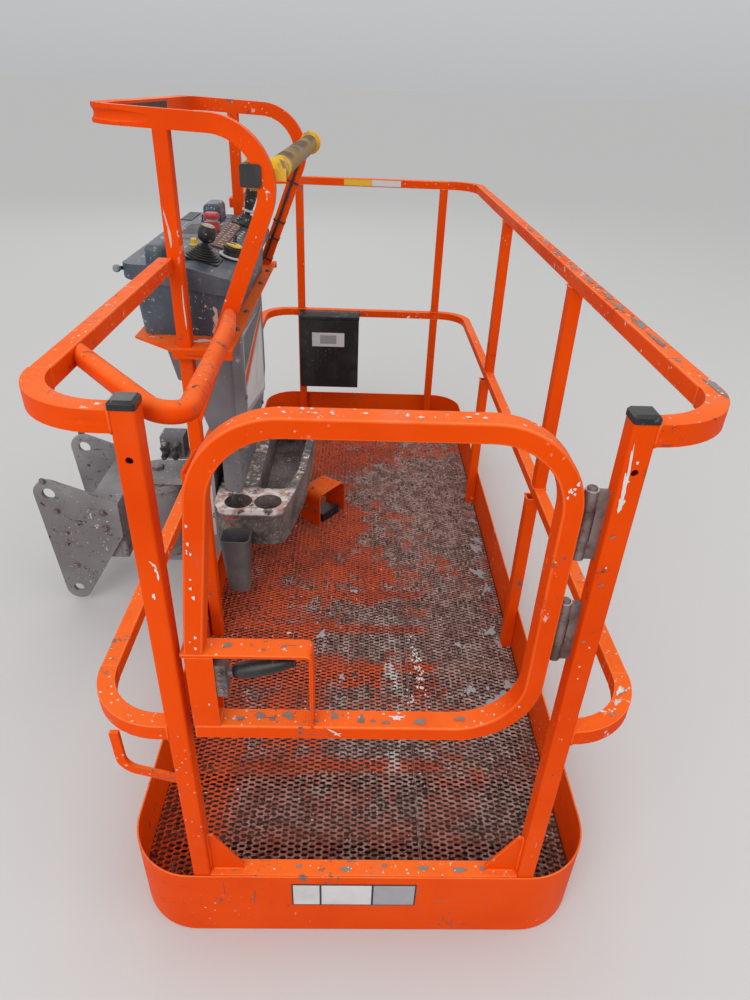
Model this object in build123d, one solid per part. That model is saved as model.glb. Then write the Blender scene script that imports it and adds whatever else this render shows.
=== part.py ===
from build123d import *
import math
import os

# Work platform of a boom lift: basket, gate, control console and rotating support.
# Millimetres. Laid out from the gate end: X to the right, Y away from the gate, Z up from the base.
# The whole layout is moved at the end, so that the origin lies at the bottom centre of its bounding box.
# Places on the left long side are measured from left_x, so they follow the platform's width.

# Basket outline
platform_width = 914.0
platform_length = 2385.0
corner_radius = 130.0
half_width = platform_width / 2
mid_length = platform_length / 2
left_x = -half_width

# Fits
fit_gap = 0.3
cut_extra = 1.0

# Toe board, floor frame and deck
toe_height = 188.0
toe_sheet = 4.0
frame_height = 50.0
frame_width = 40.0
cross_count = 13
cross_width = 30.0
cross_height = 40.0
deck_sheet = 5.0
deck_seam_x = 130.0
deck_seam_gap = 2.0
deck_post_gap = 1.0
deck_rim = 56.0
deck_bar = 6.0
deck_columns = (8, 4)
deck_top = frame_height + deck_sheet
wall_inset = toe_sheet + fit_gap

# Square tube of the posts and console legs
tube = 32.0
tube_wall = 3.0
tube_round = 4.0

# Rails: square tube bent round the corners, its outer wall pressed in at each bend
rail = 30.0
rail_outset = 8.0
rail_end_inset = 5.0
rail_top = 1147.0
mid_rail_top = 602.0
dent_radius = 14.0
dent_run_out = 30.0

# Front posts at the gate opening
gate_centre_x = 7.0
post_corner_inset = 146.5
post_left_x = gate_centre_x + post_corner_inset - half_width
post_right_x = gate_centre_x - post_corner_inset + half_width
post_left_face_x = post_left_x + tube / 2
post_right_face_x = post_right_x - tube / 2
cap_height = 12.0
cap_overlap = 1.0
cap_bevel = 4.0
cap_plug = 16.0
post_hole_radius = 5.0
post_hole_drop = 66.0
sill_sheet = 4.0
sill_skirt = 113.0
gusset_sheet = 6.0
gusset_width = 62.0
gusset_height = 105.0
gusset_lip = 14.0
gusset_tip = 10.0

# Side and end posts
side_post_y = (777.0, 1603.0)
end_post_x = (left_x + 151.0, half_width - 159.0)

# Console guard: two legs and a tube bent up, over the console and along outside it
leg_front_y = (800.0, 1660.0)
leg_outer_x = left_x + 10.0
guard_outer_x = left_x - 121.0
guard_apex_x = left_x + 249.0
guard_top = 1432.0
guard_depth = 32.0
guard_height = 36.0
guard_slope = 2.3
guard_lean = 22.0
guard_bend = 135.0
guard_corner = 66.0
guard_dent = 9.0
guard_dent_run = 175.0
leg_gusset = 31.0
leg_gusset_height = 62.0
leg_gusset_toe = 14.0

# Gate
gate_front_y = 8.0
gate_depth = 38.0
gate_bar = 28.0
gate_top = 1141.0
gate_bottom = 574.0
gate_left_low_x = post_left_face_x + 11.5
gate_left_top_x = gate_left_low_x + 40.0
gate_right_x = post_right_face_x - 33.5
gate_bend = 130.0
gate_edge = 3.0
latch_top = 756.0
latch_strip = 6.0
latch_strip_bend = 12.0
latch_strip_right_x = gate_left_low_x + 190.0
latch_box_width = 42.0
latch_box_wall = 3.0
latch_bracket_width = 16.0
latch_bracket_z = (667.0, 731.0)
latch_shaft_z = 703.5
latch_shaft_radius = 6.5
latch_shaft_length = 12.0
latch_grip_length = 94.0
latch_grip_rise = 14.0
latch_grip_radius = (9.0, 6.0)

# Hinges
hinge_radius = 9.5
hinge_pin_radius = 4.5
hinge_pin_head = 7.0
hinge_pin_head_height = 4.0
hinge_running_gap = 0.25
hinge_knuckle_gap = 0.6
hinge_leaf = 8.0
hinge_length = 108.0
hinge_end_knuckle = 30.0
hinge_low_z = (747.0, 935.0)

# Grab tube and lanyard loops
grab_radius = 15.5
grab_bends = (28.0, 300.0)
loop_width = 15.0
loop_sheet = 8.0
loop_bend = 38.0
rod_radius = 4.5

# Console
shelf_top = 947.0
shelf_sheet = 5.0
shelf_lip = 21.0
shelf_near_reach = 20.0
shelf_right_x = left_x + 138.0
shelf_left_x = left_x - 107.0
console_near_y = 880.0
console_far_y = 1600.0
console_corner = 26.0
console_draft = 7.0
lid_overhang = 7.0
lid_corner = 34.0

# Controls on the lid: where each stands
near_joystick_place = (left_x + 45.0, console_near_y + 113.0)
far_joystick_place = (left_x + 72.0, console_far_y - 100.0)
stop_place = (left_x + 8.0, console_near_y + 432.0)
dial_place = (left_x + 101.0, console_near_y + 192.0)
strip_place = (left_x + 50.0, console_near_y + 410.0)
strip_width = 38.0
strip_length = 330.0
strip_height = 4.0
flange_height = 5.0
flange_seat = 12.0
flange_corner = 14.0
ridge_count = 4
ridge_depth = 4.0
boot_lip = 7.0

# Column, tray, pocket and document box
column_near_y = 1052.0
column_far_y = 1400.0
column_left_x = left_x + 33.0
column_right_x = left_x + 85.0
cover_sheet = 30.0
cover_near_y = 1040.0
cover_far_y = 1466.0
cover_bottom = 560.0
cover_cut = 90.0
tray_near_y = 950.0
tray_far_y = 1652.0
tray_top = 408.0
tray_bottom = 286.0
tray_floor = 6.0
tray_draft = 7.0
tray_lip = 3.0
tray_lip_height = 9.0
tray_corner = 46.0
trough_rim = 24.0
trough_corner = 22.0
cup_radius = 41.0
cup_depth = 72.0
cup_y = 1000.0
cup_x = (left_x + 169.0, left_x + 81.0)
pocket_wall = 3.0
pocket_bottom = 150.0
pocket_top = 342.0
document_x = (end_post_x[0] + 8.0, end_post_x[0] + 277.0)
document_bottom = 250.0
document_top = 598.0
document_depth = 50.0
document_lid_height = 30.0
document_wall = 3.0

# Foot switch
hood_x = -150.0
hood_y = 1490.0
hood_turn = 53.0
hood_width = 152.0
hood_height = 132.0
hood_depth = 92.0
hood_sheet = 6.0
hood_bend = 34.0
pedal_height = 34.0

# Sensor bar on the guard, with its switch box and cable
bar_radius = 25.0
bar_drop = 119.0
flange_radius = 32.0
flange_sheet = 9.0
bracket_sheet = 4.0
switch_box = 44.0
switch_box_depth = 36.0
cable_radius = 4.0

# Rotating support
axis_x = left_x - 198.0
axis_y = 1170.0
mount_sheet = 10.0
mount_half_width = 100.0
mount_bottom = 20.0
housing_radius = 72.0
housing_rim = 8.0
housing_rim_height = 22.0
housing_bottom = 130.0
housing_top = 390.0
lug_sheet = 22.0
lug_half_width = 62.0
swing_gap = 5.0
pin_radius = 22.0
pin_running_gap = 0.3
support_half_width = 160.0
support_plate = 15.0
tab_height = 116.0
web_front_x = axis_x - 86.0
web_back_x = axis_x - 180.0
jib_bore = (axis_x - 284.0, 410.0)
link_bore = (axis_x - 260.0, 58.0)
jib_bore_radius = 19.0
link_bore_radius = 16.0
jib_eye_radius = 44.0
link_eye_radius = 40.0
connector_shelf_z = 476.0
connector_size = (70.0, 64.0, 68.0)

made = {}


def block(x0, x1, y0, y1, z0, z1):
    """Box between two corners."""
    centre = ((x0 + x1) / 2, (y0 + y1) / 2, (z0 + z1) / 2)
    return Pos(*centre) * Box(x1 - x0, y1 - y0, z1 - z0)


def cylinder_z(x, y, z0, z1, radius):
    """Upright cylinder."""
    return Pos(x, y, (z0 + z1) / 2) * Cylinder(radius, z1 - z0)


def polygon(points):
    """Closed flat face through corner points."""
    return make_face(Polyline(*points, close=True))


def across(face, y0, y1):
    """Solid from a face drawn in X and Z, between two places along Y."""
    return Pos(0, y1, 0) * extrude(Plane.XZ * face, y1 - y0)


def sideways(face, x0, x1):
    """Solid from a face drawn in Y and Z, between two places along X."""
    return Pos(x0, 0, 0) * extrude(Plane.YZ * face, x1 - x0)


def upward(face, z0, z1):
    """Solid from a face drawn in X and Y, between two heights."""
    return Pos(0, 0, z0) * extrude(face, z1 - z0)


def along(path_points, bends, section):
    """Solid that follows straight runs joined by arcs, its section turned to the first run."""
    start = Vector(*path_points[0])
    heading = (Vector(*path_points[1]) - start).normalized()
    line = FilletPolyline(*path_points, radius=bends)
    return sweep(Plane(origin=start, z_dir=heading) * section, path=line)


def join(shapes):
    """Like pieces of one body kept under one name."""
    total = shapes[0]
    for shape in shapes[1:]:
        total += shape
    return total


def outline(inset):
    """Rounded outline of the basket, drawn in by an inset."""
    width = platform_width - 2 * inset
    length = platform_length - 2 * inset
    return Pos(0, mid_length) * RectangleRounded(width, length, corner_radius - inset)


def rail_outline(inset):
    """Rounded outline of the rails, drawn in by an inset."""
    width = platform_width + 2 * (rail_outset - inset)
    length = platform_length - 2 * (rail_end_inset + inset)
    return Pos(0, mid_length) * RectangleRounded(width, length, corner_radius - inset)


def square_tube(x0, y0, z0, z1):
    """Upright square tube with rounded corners, from its low corner."""
    centre = Pos(x0 + tube / 2, y0 + tube / 2)
    hollow = tube - 2 * tube_wall
    section = RectangleRounded(tube, tube, tube_round) - Rectangle(hollow, hollow)
    return upward(centre * section, z0, z1)


def dent(corner, run_a, run_b, depth, bend, reach):
    """Cutter that presses in the outer wall of a bend and fades out along both runs from it."""
    offset = dent_radius - depth
    points = (
        corner + run_a * reach - run_b * (dent_radius + cut_extra),
        corner - (run_a + run_b) * offset,
        corner + run_b * reach - run_a * (dent_radius + cut_extra),
    )
    return along([tuple(point) for point in points], bend + offset, Circle(dent_radius))


# Floor frame: a tube round the edge with cross members under the deck
save = made.__setitem__
frame_inner = wall_inset + frame_width
save("floor_frame", upward(outline(wall_inset) - outline(frame_inner), 0, frame_height))
cross_pitch = platform_length / (cross_count + 1)
cross_reach = half_width - frame_inner
cross_half = cross_width / 2
cross_middles = [cross_pitch * index for index in range(1, cross_count + 1)]
cross_z = (frame_height - cross_height, frame_height)
save("cross_members", join([
    block(-cross_reach, cross_reach, y - cross_half, y + cross_half, *cross_z)
    for y in cross_middles
]))

# Toe board: a bent sheet round the floor frame
save("toe_board", upward(outline(0) - outline(toe_sheet), 0, toe_height))

# Front posts with their plugs
post_y = wall_inset
post_top = rail_top
caps = []
for side, x in (("left", post_left_x), ("right", post_right_x)):
    post = square_tube(x - tube / 2, post_y, frame_height, post_top)
    drill = Rot(90, 0, 0) * Cylinder(post_hole_radius, 4 * tube_wall)
    hole = Pos(x, post_y, post_top - post_hole_drop) * drill
    save(f"gate_post_{side}", post - hole)
    plug_side = tube - 2 * (tube_wall + fit_gap)
    cap_side = tube + 2 * cap_overlap
    cap = upward(Pos(x, post_y + tube / 2) * RectangleRounded(cap_side, cap_side, tube_round),
                 post_top, post_top + cap_height)
    cap = chamfer(cap.edges().group_by(Axis.Z)[-1], cap_bevel)
    plug = Pos(x, post_y + tube / 2, post_top - cap_plug / 2) * Box(plug_side, plug_side, cap_plug)
    caps.append(cap + plug)
save("post_caps", join(caps))

# Rails: bends with pressed-in walls, and the straight runs between them
rail_half = half_width + rail_outset
rail_front_y = rail_end_inset
rail_back_y = platform_length - rail_end_inset
bend_end_x = rail_half - corner_radius
gate_gap = block(post_left_x - tube / 2, post_right_x + tube / 2, 0, mid_length / 2, 0, 2 * rail_top)
guard_gap = block(-2 * half_width, 0, leg_front_y[0], leg_front_y[1] + tube, 0, 2 * rail_top)
run_ends = (rail_front_y + corner_radius, rail_back_y - corner_radius)
side_zone = block(-2 * half_width, 2 * half_width, *run_ends, 0, 2 * rail_top)
end_zone = block(-bend_end_x, bend_end_x, mid_length, 2 * platform_length, 0, 2 * rail_top)
rail_sets = (
    # name, top, gap in the left run, dent depth at the near left, near right, far left and far right bend
    ("top_rail", rail_top, guard_gap, (10.0, 6.0, 7.0, 7.0)),
    ("mid_rail", mid_rail_top, None, (8.0, 8.0, 7.0, 7.0)),
)
corner_signs = ((-1, 1), (1, 1), (-1, -1), (1, -1))
for name, top, gap, depths in rail_sets:
    full = upward(rail_outline(0) - rail_outline(rail), top - rail, top) - gate_gap
    if gap is not None:
        full -= gap
    runs = (full & side_zone) + (full & end_zone)
    bends = full - side_zone - end_zone
    for (side, end), depth in zip(corner_signs, depths):
        corner = Vector(side * rail_half, rail_front_y if end > 0 else rail_back_y, top - rail / 2)
        bends -= dent(corner, Vector(-side, 0, 0), Vector(0, end, 0), depth, corner_radius,
                      corner_radius + dent_run_out)
    save(f"{name}_runs", runs)
    save(f"{name}_bends", bends)

# Side and end posts: a low tube inside the toe board and a high tube between the rails
low_side_x = half_width - wall_inset - tube
high_side_x = rail_half - tube
low_end_y = platform_length - wall_inset - tube
high_end_y = rail_back_y - tube
low_post_top = mid_rail_top - rail
high_post_top = rail_top - rail
post_groups = (
    # name, low corners, high corners
    ("side_posts", [(low_side_x, y) for y in side_post_y], [(high_side_x, y) for y in side_post_y]),
    ("end_posts", [(x, low_end_y) for x in end_post_x], [(x, high_end_y) for x in end_post_x]),
)
for name, low, high in post_groups:
    save(f"{name}_low", join([square_tube(*corner, frame_height, low_post_top) for corner in low]))
    save(f"{name}_high", join([square_tube(*corner, mid_rail_top, high_post_top) for corner in high]))
leg_corners = [(leg_outer_x, y) for y in leg_front_y]
save("console_legs_low", join([square_tube(*corner, frame_height, low_post_top) for corner in leg_corners]))

# Console guard: both ends rise from a leg, lean outwards and bend over to the outer bar
slope = math.radians(guard_slope)
lean = math.radians(guard_lean)
guard_mid = guard_height / 2
outer_mid_x = guard_outer_x + guard_depth / 2
outer_mid_z = guard_top - guard_mid


def arm_mid_z(x):
    """Middle of the sloping arm at a place along X."""
    return outer_mid_z - (x - outer_mid_x) * math.tan(slope)


centre_bend = guard_bend - guard_mid
bend_centre_x = guard_apex_x - guard_bend
bend_centre_z = arm_mid_z(bend_centre_x) - centre_bend / math.cos(slope)
arm_normal = Vector(math.sin(slope), 0, math.cos(slope))
brace_normal = Vector(math.cos(lean), 0, -math.sin(lean))
brace_down = Vector(-math.sin(lean), 0, -math.cos(lean))
bend_corner = Vector(bend_centre_x, 0, bend_centre_z)
bend_corner += (arm_normal + brace_normal) * (centre_bend / (1 + arm_normal.dot(brace_normal)))
leg_inner_x = leg_outer_x + tube
foot_reach = (bend_corner.X - leg_inner_x + 2 * tube) / math.sin(lean)
foot = bend_corner + brace_down * foot_reach


def brace_x(z):
    """Middle of the leaning tube at a height."""
    return bend_corner.X - (bend_corner.Z - z) * math.tan(lean)


near_mid_y = leg_front_y[0] + guard_depth / 2
far_mid_y = leg_front_y[1] + guard_depth / 2
guard_points = [
    (foot.X, near_mid_y, foot.Z),
    (bend_corner.X, near_mid_y, bend_corner.Z),
    (outer_mid_x, near_mid_y, outer_mid_z),
    (outer_mid_x, far_mid_y, outer_mid_z),
    (bend_corner.X, far_mid_y, bend_corner.Z),
    (foot.X, far_mid_y, foot.Z),
]
corner_bend = guard_corner - guard_depth / 2
guard_line = FilletPolyline(*guard_points, radius=[centre_bend, corner_bend, corner_bend, centre_bend])
guard_start = Plane(origin=guard_points[0], x_dir=(0, 1, 0), z_dir=tuple(brace_down * -1))
guard = sweep(guard_start * Rectangle(guard_depth, guard_height), path=guard_line)
for y, turn in ((leg_front_y[0], 1), (leg_front_y[1] + guard_depth, -1)):
    outer_corner = Vector(guard_outer_x, y, outer_mid_z)
    arm_run = Vector(math.cos(slope), 0, -math.sin(slope))
    guard -= dent(outer_corner, arm_run, Vector(0, turn, 0), guard_dent, guard_corner, guard_dent_run)
guard -= block(2 * guard_outer_x, leg_inner_x, 0, platform_length, 0, bend_centre_z)
save("console_guard", guard)

# Console legs up to the guard, the near one with a small gusset on the mid rail
legs = []
for x, y in leg_corners:
    over = Pos(x, y, arm_mid_z(x) - guard_mid / math.cos(slope))
    over = over * Rot(0, guard_slope, 0) * Pos(0, 0, guard_bend) * Box(4 * tube, 4 * tube, 2 * guard_bend)
    legs.append(square_tube(x, y, mid_rail_top, guard_top) - over)
gusset = polygon([
    (leg_outer_x, mid_rail_top), (leg_outer_x, mid_rail_top + leg_gusset_height),
    (leg_outer_x - leg_gusset, mid_rail_top + leg_gusset_toe), (leg_outer_x - leg_gusset, mid_rail_top),
])
legs[0] += across(gusset, near_mid_y - gusset_sheet / 2, near_mid_y + gusset_sheet / 2)
save("console_legs_high", join(legs))

# Deck panels lie on the floor frame and clear the posts, with a grid of openings between the cross members
openings = []
deck_strips = (
    (deck_rim - half_width, deck_seam_x - deck_bar),
    (deck_seam_x + deck_seam_gap + deck_bar, half_width - deck_rim),
)
for (strip_left, strip_right), count in zip(deck_strips, deck_columns):
    opening_width = (strip_right - strip_left - (count - 1) * deck_bar) / count
    bay_starts = [frame_inner] + [y + cross_half for y in cross_middles]
    bay_ends = [y - cross_half for y in cross_middles] + [platform_length - frame_inner]
    for start, end in zip(bay_starts, bay_ends):
        opening = Rectangle(opening_width, end - start - 2 * deck_bar)
        for column in range(count):
            opening_x = strip_left + column * (opening_width + deck_bar) + opening_width / 2
            openings.append(Pos(opening_x, (start + end) / 2) * opening)
deck = upward(outline(wall_inset + fit_gap) - openings, frame_height, deck_top)
through = [(post_left_x - tube / 2, post_y), (post_right_x - tube / 2, post_y)] + leg_corners
for name, low, high in post_groups:
    through += low
post_window = tube + 2 * deck_post_gap
for x, y in through:
    deck -= Pos(x + tube / 2, y + tube / 2) * Box(post_window, post_window, 4 * deck_top)
seam_end_x = deck_seam_x + deck_seam_gap
deck -= block(deck_seam_x, seam_end_x, -platform_length, 2 * platform_length, 0, 2 * deck_top)
panels = deck.solids().sort_by(Axis.X)
save("deck_panel_left", panels[0])
save("deck_panel_right", panels[-1])

# Entry sill and its gussets
sill_back = post_y + tube
sill_ends = (post_left_face_x, post_right_face_x)
sill = block(*sill_ends, post_y, sill_back, toe_height - sill_sheet, toe_height)
sill += block(*sill_ends, sill_back - sill_sheet, sill_back, toe_height - sill_skirt, toe_height)
save("entry_sill", sill)
gussets = []
for x, turn in zip(sill_ends, (1, -1)):
    face = polygon([
        (x, toe_height),
        (x + turn * gusset_width, toe_height),
        (x + turn * gusset_width, toe_height + gusset_lip),
        (x + turn * gusset_tip, toe_height + gusset_height),
        (x, toe_height + gusset_height),
    ])
    middle = post_y + tube / 2
    gussets.append(across(face, middle - gusset_sheet / 2, middle + gusset_sheet / 2))
save("sill_gussets", join(gussets))

# Grab tube: from the left rail, round behind the near post and up to the leaning tube
rail_inner_x = -(rail_half - rail)
grab_z = rail_top - rail / 2
brace_meet_z = rail_top - 125.0
grab_points = [
    (rail_inner_x - tube, 272.0, grab_z - 1.0),
    (left_x + 216.0, 12.0, grab_z - 12.0),
    (left_x + 187.0, 499.0, rail_top - 59.0),
    (brace_x(brace_meet_z), near_mid_y, brace_meet_z),
]
grab = along(grab_points, grab_bends, Circle(grab_radius))
grab -= block(2 * guard_outer_x, rail_inner_x + fit_gap, 0, platform_length, 0, 2 * rail_top)
grab -= block(2 * guard_outer_x, 0, leg_front_y[0] - fit_gap, platform_length, 0, 2 * rail_top)
save("grab_tube", grab)

# Lanyard loops: a strap from the mid rail to the near post, and a rod round the rail at the near leg
strap_y = post_y + tube / 2
strap_end_x = post_left_x - tube / 2 - fit_gap
strap_points = [
    (left_x + 46.0, strap_y, mid_rail_top - rail - fit_gap),
    (left_x + 48.0, strap_y, mid_rail_top - 116.0),
    (strap_end_x + tube, strap_y, mid_rail_top - 160.0),
]
strap_line = FilletPolyline(*strap_points, radius=loop_bend)
strap_heading = Vector(*strap_points[1]) - Vector(*strap_points[0])
strap_start = Plane(origin=strap_points[0], x_dir=(0, 1, 0), z_dir=strap_heading)
strap = sweep(strap_start * Rectangle(loop_sheet, loop_width), path=strap_line)
strap -= block(strap_end_x, 0, 0, mid_length, 0, mid_rail_top)
rod_y = leg_front_y[0] - rod_radius - fit_gap
rod_x = -rail_half - rod_radius - 2.0
rod_points = [
    (leg_outer_x + tube / 2, rod_y, mid_rail_top + 84.0),
    (rod_x, rod_y, mid_rail_top + 16.0),
    (rod_x, rod_y, mid_rail_top - rail - 10.0),
    (leg_outer_x + tube / 2, rod_y, mid_rail_top - rail - 52.0),
]
rod = along(rod_points, 18.0, Circle(rod_radius))
save("lanyard_loops", join([strap, rod]))

# Gate: a bent tube whose lower left is closed by the latch box
gate_back_y = gate_front_y + gate_depth


def gate_shape(inset):
    """Outline of the gate frame, drawn in by an inset."""
    low = gate_bottom + inset
    high = gate_top - inset
    face = polygon([
        (gate_left_low_x + inset, low), (gate_right_x - inset, low), (gate_right_x - inset, high),
        (gate_left_top_x + inset, high), (gate_left_low_x + inset, latch_top),
    ])
    rounded = [vertex for vertex in face.vertices() if vertex.X > 0 or vertex.Y > high - cut_extra]
    return fillet(rounded, gate_bend - inset)


latch_bay = block(2 * gate_left_low_x, gate_left_low_x + 2 * gate_bar, 0, gate_back_y + cut_extra,
                  gate_bottom + gate_bar, latch_top)
gate = across(gate_shape(0) - gate_shape(gate_bar), gate_front_y, gate_back_y) - latch_bay
save("gate_frame", gate)

strip_left_x = gate_left_low_x - latch_strip
strip_low_z = gate_bottom + gate_bar
strip_outer = polygon([
    (strip_left_x, strip_low_z), (latch_strip_right_x, strip_low_z), (latch_strip_right_x, latch_top),
    (strip_left_x, latch_top),
])
strip_inner_x = latch_strip_right_x - latch_strip
strip_inner_z = latch_top - latch_strip
strip_inner = polygon([
    (strip_left_x - cut_extra, strip_low_z - cut_extra), (strip_inner_x, strip_low_z - cut_extra),
    (strip_inner_x, strip_inner_z), (strip_left_x - cut_extra, strip_inner_z),
])
bend_point = strip_outer.vertices().group_by(Axis.Y)[-1].sort_by(Axis.X)[-1]
strip_outer = fillet(bend_point, latch_strip_bend)
save("latch_guard", across(strip_outer - strip_inner, gate_front_y, gate_back_y))

box_right_x = gate_left_low_x + latch_box_width
box_top = strip_inner_z
latch_box = block(gate_left_low_x, box_right_x, gate_front_y, gate_back_y, strip_low_z, box_top)
latch_box -= block(gate_left_low_x + latch_box_wall, box_right_x + cut_extra, gate_front_y + latch_box_wall,
                   gate_back_y - latch_box_wall, strip_low_z + latch_box_wall, box_top - latch_box_wall)
save("latch_box", latch_box)

latch_y = gate_front_y + gate_depth / 2
bracket_end_x = box_right_x + latch_bracket_width
bracket_half = gate_depth / 2 - latch_box_wall - fit_gap
bracket_x = (box_right_x - latch_bracket_width, bracket_end_x)
bolt = block(*bracket_x, latch_y - bracket_half, latch_y + bracket_half, *latch_bracket_z)
shaft_end_x = bracket_end_x + latch_shaft_length
shaft_start_x = gate_left_low_x + latch_box_wall + fit_gap
shaft_centre = Pos((shaft_start_x + shaft_end_x) / 2, latch_y, latch_shaft_z)
bolt += shaft_centre * Rot(0, 90, 0) * Cylinder(latch_shaft_radius, shaft_end_x - shaft_start_x)
save("latch_bolt", bolt)
grip = Cone(*latch_grip_radius, latch_grip_length, align=(Align.CENTER, Align.CENTER, Align.MIN))
grip_place = Pos(shaft_end_x + 3 * fit_gap, latch_y, latch_shaft_z) * Rot(0, 90 - latch_grip_rise, 0)
grip = grip_place * grip - block(2 * gate_left_low_x, shaft_end_x, 0, 2 * gate_back_y, 0, gate_top)
save("latch_handle", grip)

# Hinges: end knuckles, leaf and pin on the post, middle knuckle on the gate
hinge_x = gate_right_x + hinge_radius + 1.0
hinge_y = gate_front_y + gate_depth / 2
for label, z0 in zip(("lower", "upper"), hinge_low_z):
    z1 = z0 + hinge_length
    middle_z0 = z0 + hinge_end_knuckle
    middle_z1 = z1 - hinge_end_knuckle
    leaf = block(hinge_x, post_right_face_x, hinge_y - hinge_leaf / 2, hinge_y + hinge_leaf / 2, z0, z1)
    clear = cylinder_z(hinge_x, hinge_y, middle_z0 - hinge_knuckle_gap, middle_z1 + hinge_knuckle_gap,
                       hinge_radius + cut_extra)
    pin = cylinder_z(hinge_x, hinge_y, z0, z1 + hinge_pin_head_height, hinge_pin_radius)
    head = cylinder_z(hinge_x, hinge_y, z1, z1 + hinge_pin_head_height, hinge_pin_head)
    knuckles = cylinder_z(hinge_x, hinge_y, z0, z1, hinge_radius)
    save(f"hinge_leaf_{label}", leaf + knuckles - clear + pin + head)
    knuckle = cylinder_z(hinge_x, hinge_y, middle_z0, middle_z1, hinge_radius)
    arm_y = (hinge_y - hinge_leaf / 2, hinge_y + hinge_leaf / 2)
    arm = block(gate_right_x, hinge_x, *arm_y, middle_z0, middle_z1)
    bore = cylinder_z(hinge_x, hinge_y, z0, z1, hinge_pin_radius + hinge_running_gap)
    save(f"hinge_barrel_{label}", knuckle + arm - bore)

# Console shelf: a tray between the legs with a folded lip at each end
shelf_near_y = leg_front_y[0] - shelf_near_reach
shelf_far_y = leg_front_y[1] + tube + shelf_near_reach
wing_y = console_near_y - 10.0
shelf_face = polygon([
    (leg_outer_x - 8.0, shelf_near_y), (shelf_right_x, shelf_near_y), (shelf_right_x, shelf_far_y),
    (leg_outer_x - 8.0, shelf_far_y), (shelf_left_x, shelf_far_y - 90.0), (shelf_left_x, wing_y),
])
shelf = upward(shelf_face, shelf_top - shelf_sheet, shelf_top)
for y in (shelf_near_y, shelf_far_y - shelf_sheet):
    shelf += block(leg_outer_x - 8.0, shelf_right_x, y, y + shelf_sheet, shelf_top - shelf_lip, shelf_top)
for x, y in leg_corners:
    shelf -= block(x - fit_gap, x + tube + fit_gap, y - fit_gap, y + tube + fit_gap, 0, guard_top)
shelf -= guard
save("console_shelf", shelf.solids().sort_by(SortBy.VOLUME)[-1])

# Console: a tapered body under a crowned lid with moulded bumps
lid_outer_x = left_x - 121.0
lid_inner_x = left_x + 135.0
lid_crown = (
    # x, z of the lid's upper surface from the outer to the inner edge
    (lid_outer_x + 4.0, shelf_top + 167.0),
    (left_x + 34.0, shelf_top + 162.0),
    (left_x + 122.0, shelf_top + 138.0),
)
lid_under = (
    # x, z of the lid's underside
    (lid_outer_x + 8.0, shelf_top + 133.0),
    (left_x + 31.0, shelf_top + 113.0),
    (lid_inner_x - 6.0, shelf_top + 97.0),
)
lid_profile = [
    (lid_outer_x, shelf_top + 139.0), *lid_crown,
    (lid_inner_x, shelf_top + 123.0), *lid_under[::-1],
]


def crown_z(x):
    """Height of the lid's upper surface."""
    (x0, z0), (x1, z1), (x2, z2) = lid_crown
    if x < x1:
        return z0 + (z1 - z0) * (x - x0) / (x1 - x0)
    return z1 + (z2 - z1) * (x - x1) / (x2 - x1)


def crown_tilt(x):
    """Tilt of the lid's upper surface, in degrees about Y."""
    return math.degrees(math.atan((crown_z(x - 1) - crown_z(x + 1)) / 2))


def moulded_bump(x, y, width, length, height, radius):
    """Rounded raised block on the lid."""
    bump = Pos(x, y, crown_z(x) - height) * extrude(RectangleRounded(width, length, radius), 2 * height)
    return fillet(bump.edges().group_by(Axis.Z)[-1], radius - 2.0)


lid_near_y = console_near_y - lid_overhang
lid_far_y = console_far_y + lid_overhang
lid_plan = Pos((lid_outer_x + lid_inner_x) / 2, (lid_near_y + lid_far_y) / 2) * RectangleRounded(
    lid_inner_x - lid_outer_x, lid_far_y - lid_near_y, lid_corner)
lid = across(polygon(lid_profile), lid_near_y, lid_far_y) & upward(lid_plan, shelf_top, guard_top)
bumps = (
    # x, y, width, length, height above the lid, corner radius
    (left_x - 48.0, 965.0, 44.0, 130.0, 38.0, 16.0),
    (left_x - 20.0, 1505.0, 52.0, 110.0, 50.0, 18.0),
)
below_face = polygon([*lid_under, (lid_inner_x, shelf_top), (lid_outer_x, shelf_top)])
under_lid = across(below_face, lid_near_y, lid_far_y)
for bump in bumps:
    lid += moulded_bump(*bump) - under_lid
save("console_lid", lid)

body_left_x = left_x - 92.0
body_right_x = left_x + 107.0
body_low = Pos((body_left_x + body_right_x) / 2, (console_near_y + console_far_y) / 2) * RectangleRounded(
    body_right_x - body_left_x, console_far_y - console_near_y - 2 * console_draft, console_corner)
body_high = Pos((body_left_x + body_right_x) / 2, (console_near_y + console_far_y) / 2) * RectangleRounded(
    body_right_x - body_left_x + 4 * console_draft, console_far_y - console_near_y, console_corner)
body = loft([Pos(0, 0, shelf_top + fit_gap) * body_low, Pos(0, 0, lid_crown[0][1]) * body_high])
over_body = across(polygon([
    (lid_outer_x - tube, lid_under[0][1] + 4.0),
    *[(x, z - fit_gap) for x, z in lid_under],
    (lid_inner_x + tube, lid_under[-1][1]),
    (lid_inner_x + tube, guard_top),
    (lid_outer_x - tube, guard_top),
]), 0, platform_length)
save("console_body", body - over_body)

# Controls on the lid
def bellows(low_radius, high_radius, height):
    """Half profile of a ribbed rubber boot, as points of radius and height."""
    points = [(0, 0)]
    for index in range(ridge_count):
        low = index / ridge_count
        mid = (index + 0.5) / ridge_count
        radius = low_radius + (high_radius - low_radius) * low
        points.append((radius, height * low))
        points.append((radius - ridge_depth, height * mid))
    points.append((high_radius, height))
    return points


def turned(points):
    """Solid of revolution about Z through half profile points."""
    return revolve(Plane.XZ * polygon(points), Axis.Z)


def on_lid(x, y, shape):
    """Set a shape on the lid's surface, square to it."""
    return Pos(x, y, crown_z(x) + fit_gap) * Rot(0, crown_tilt(x), 0) * shape


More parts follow.
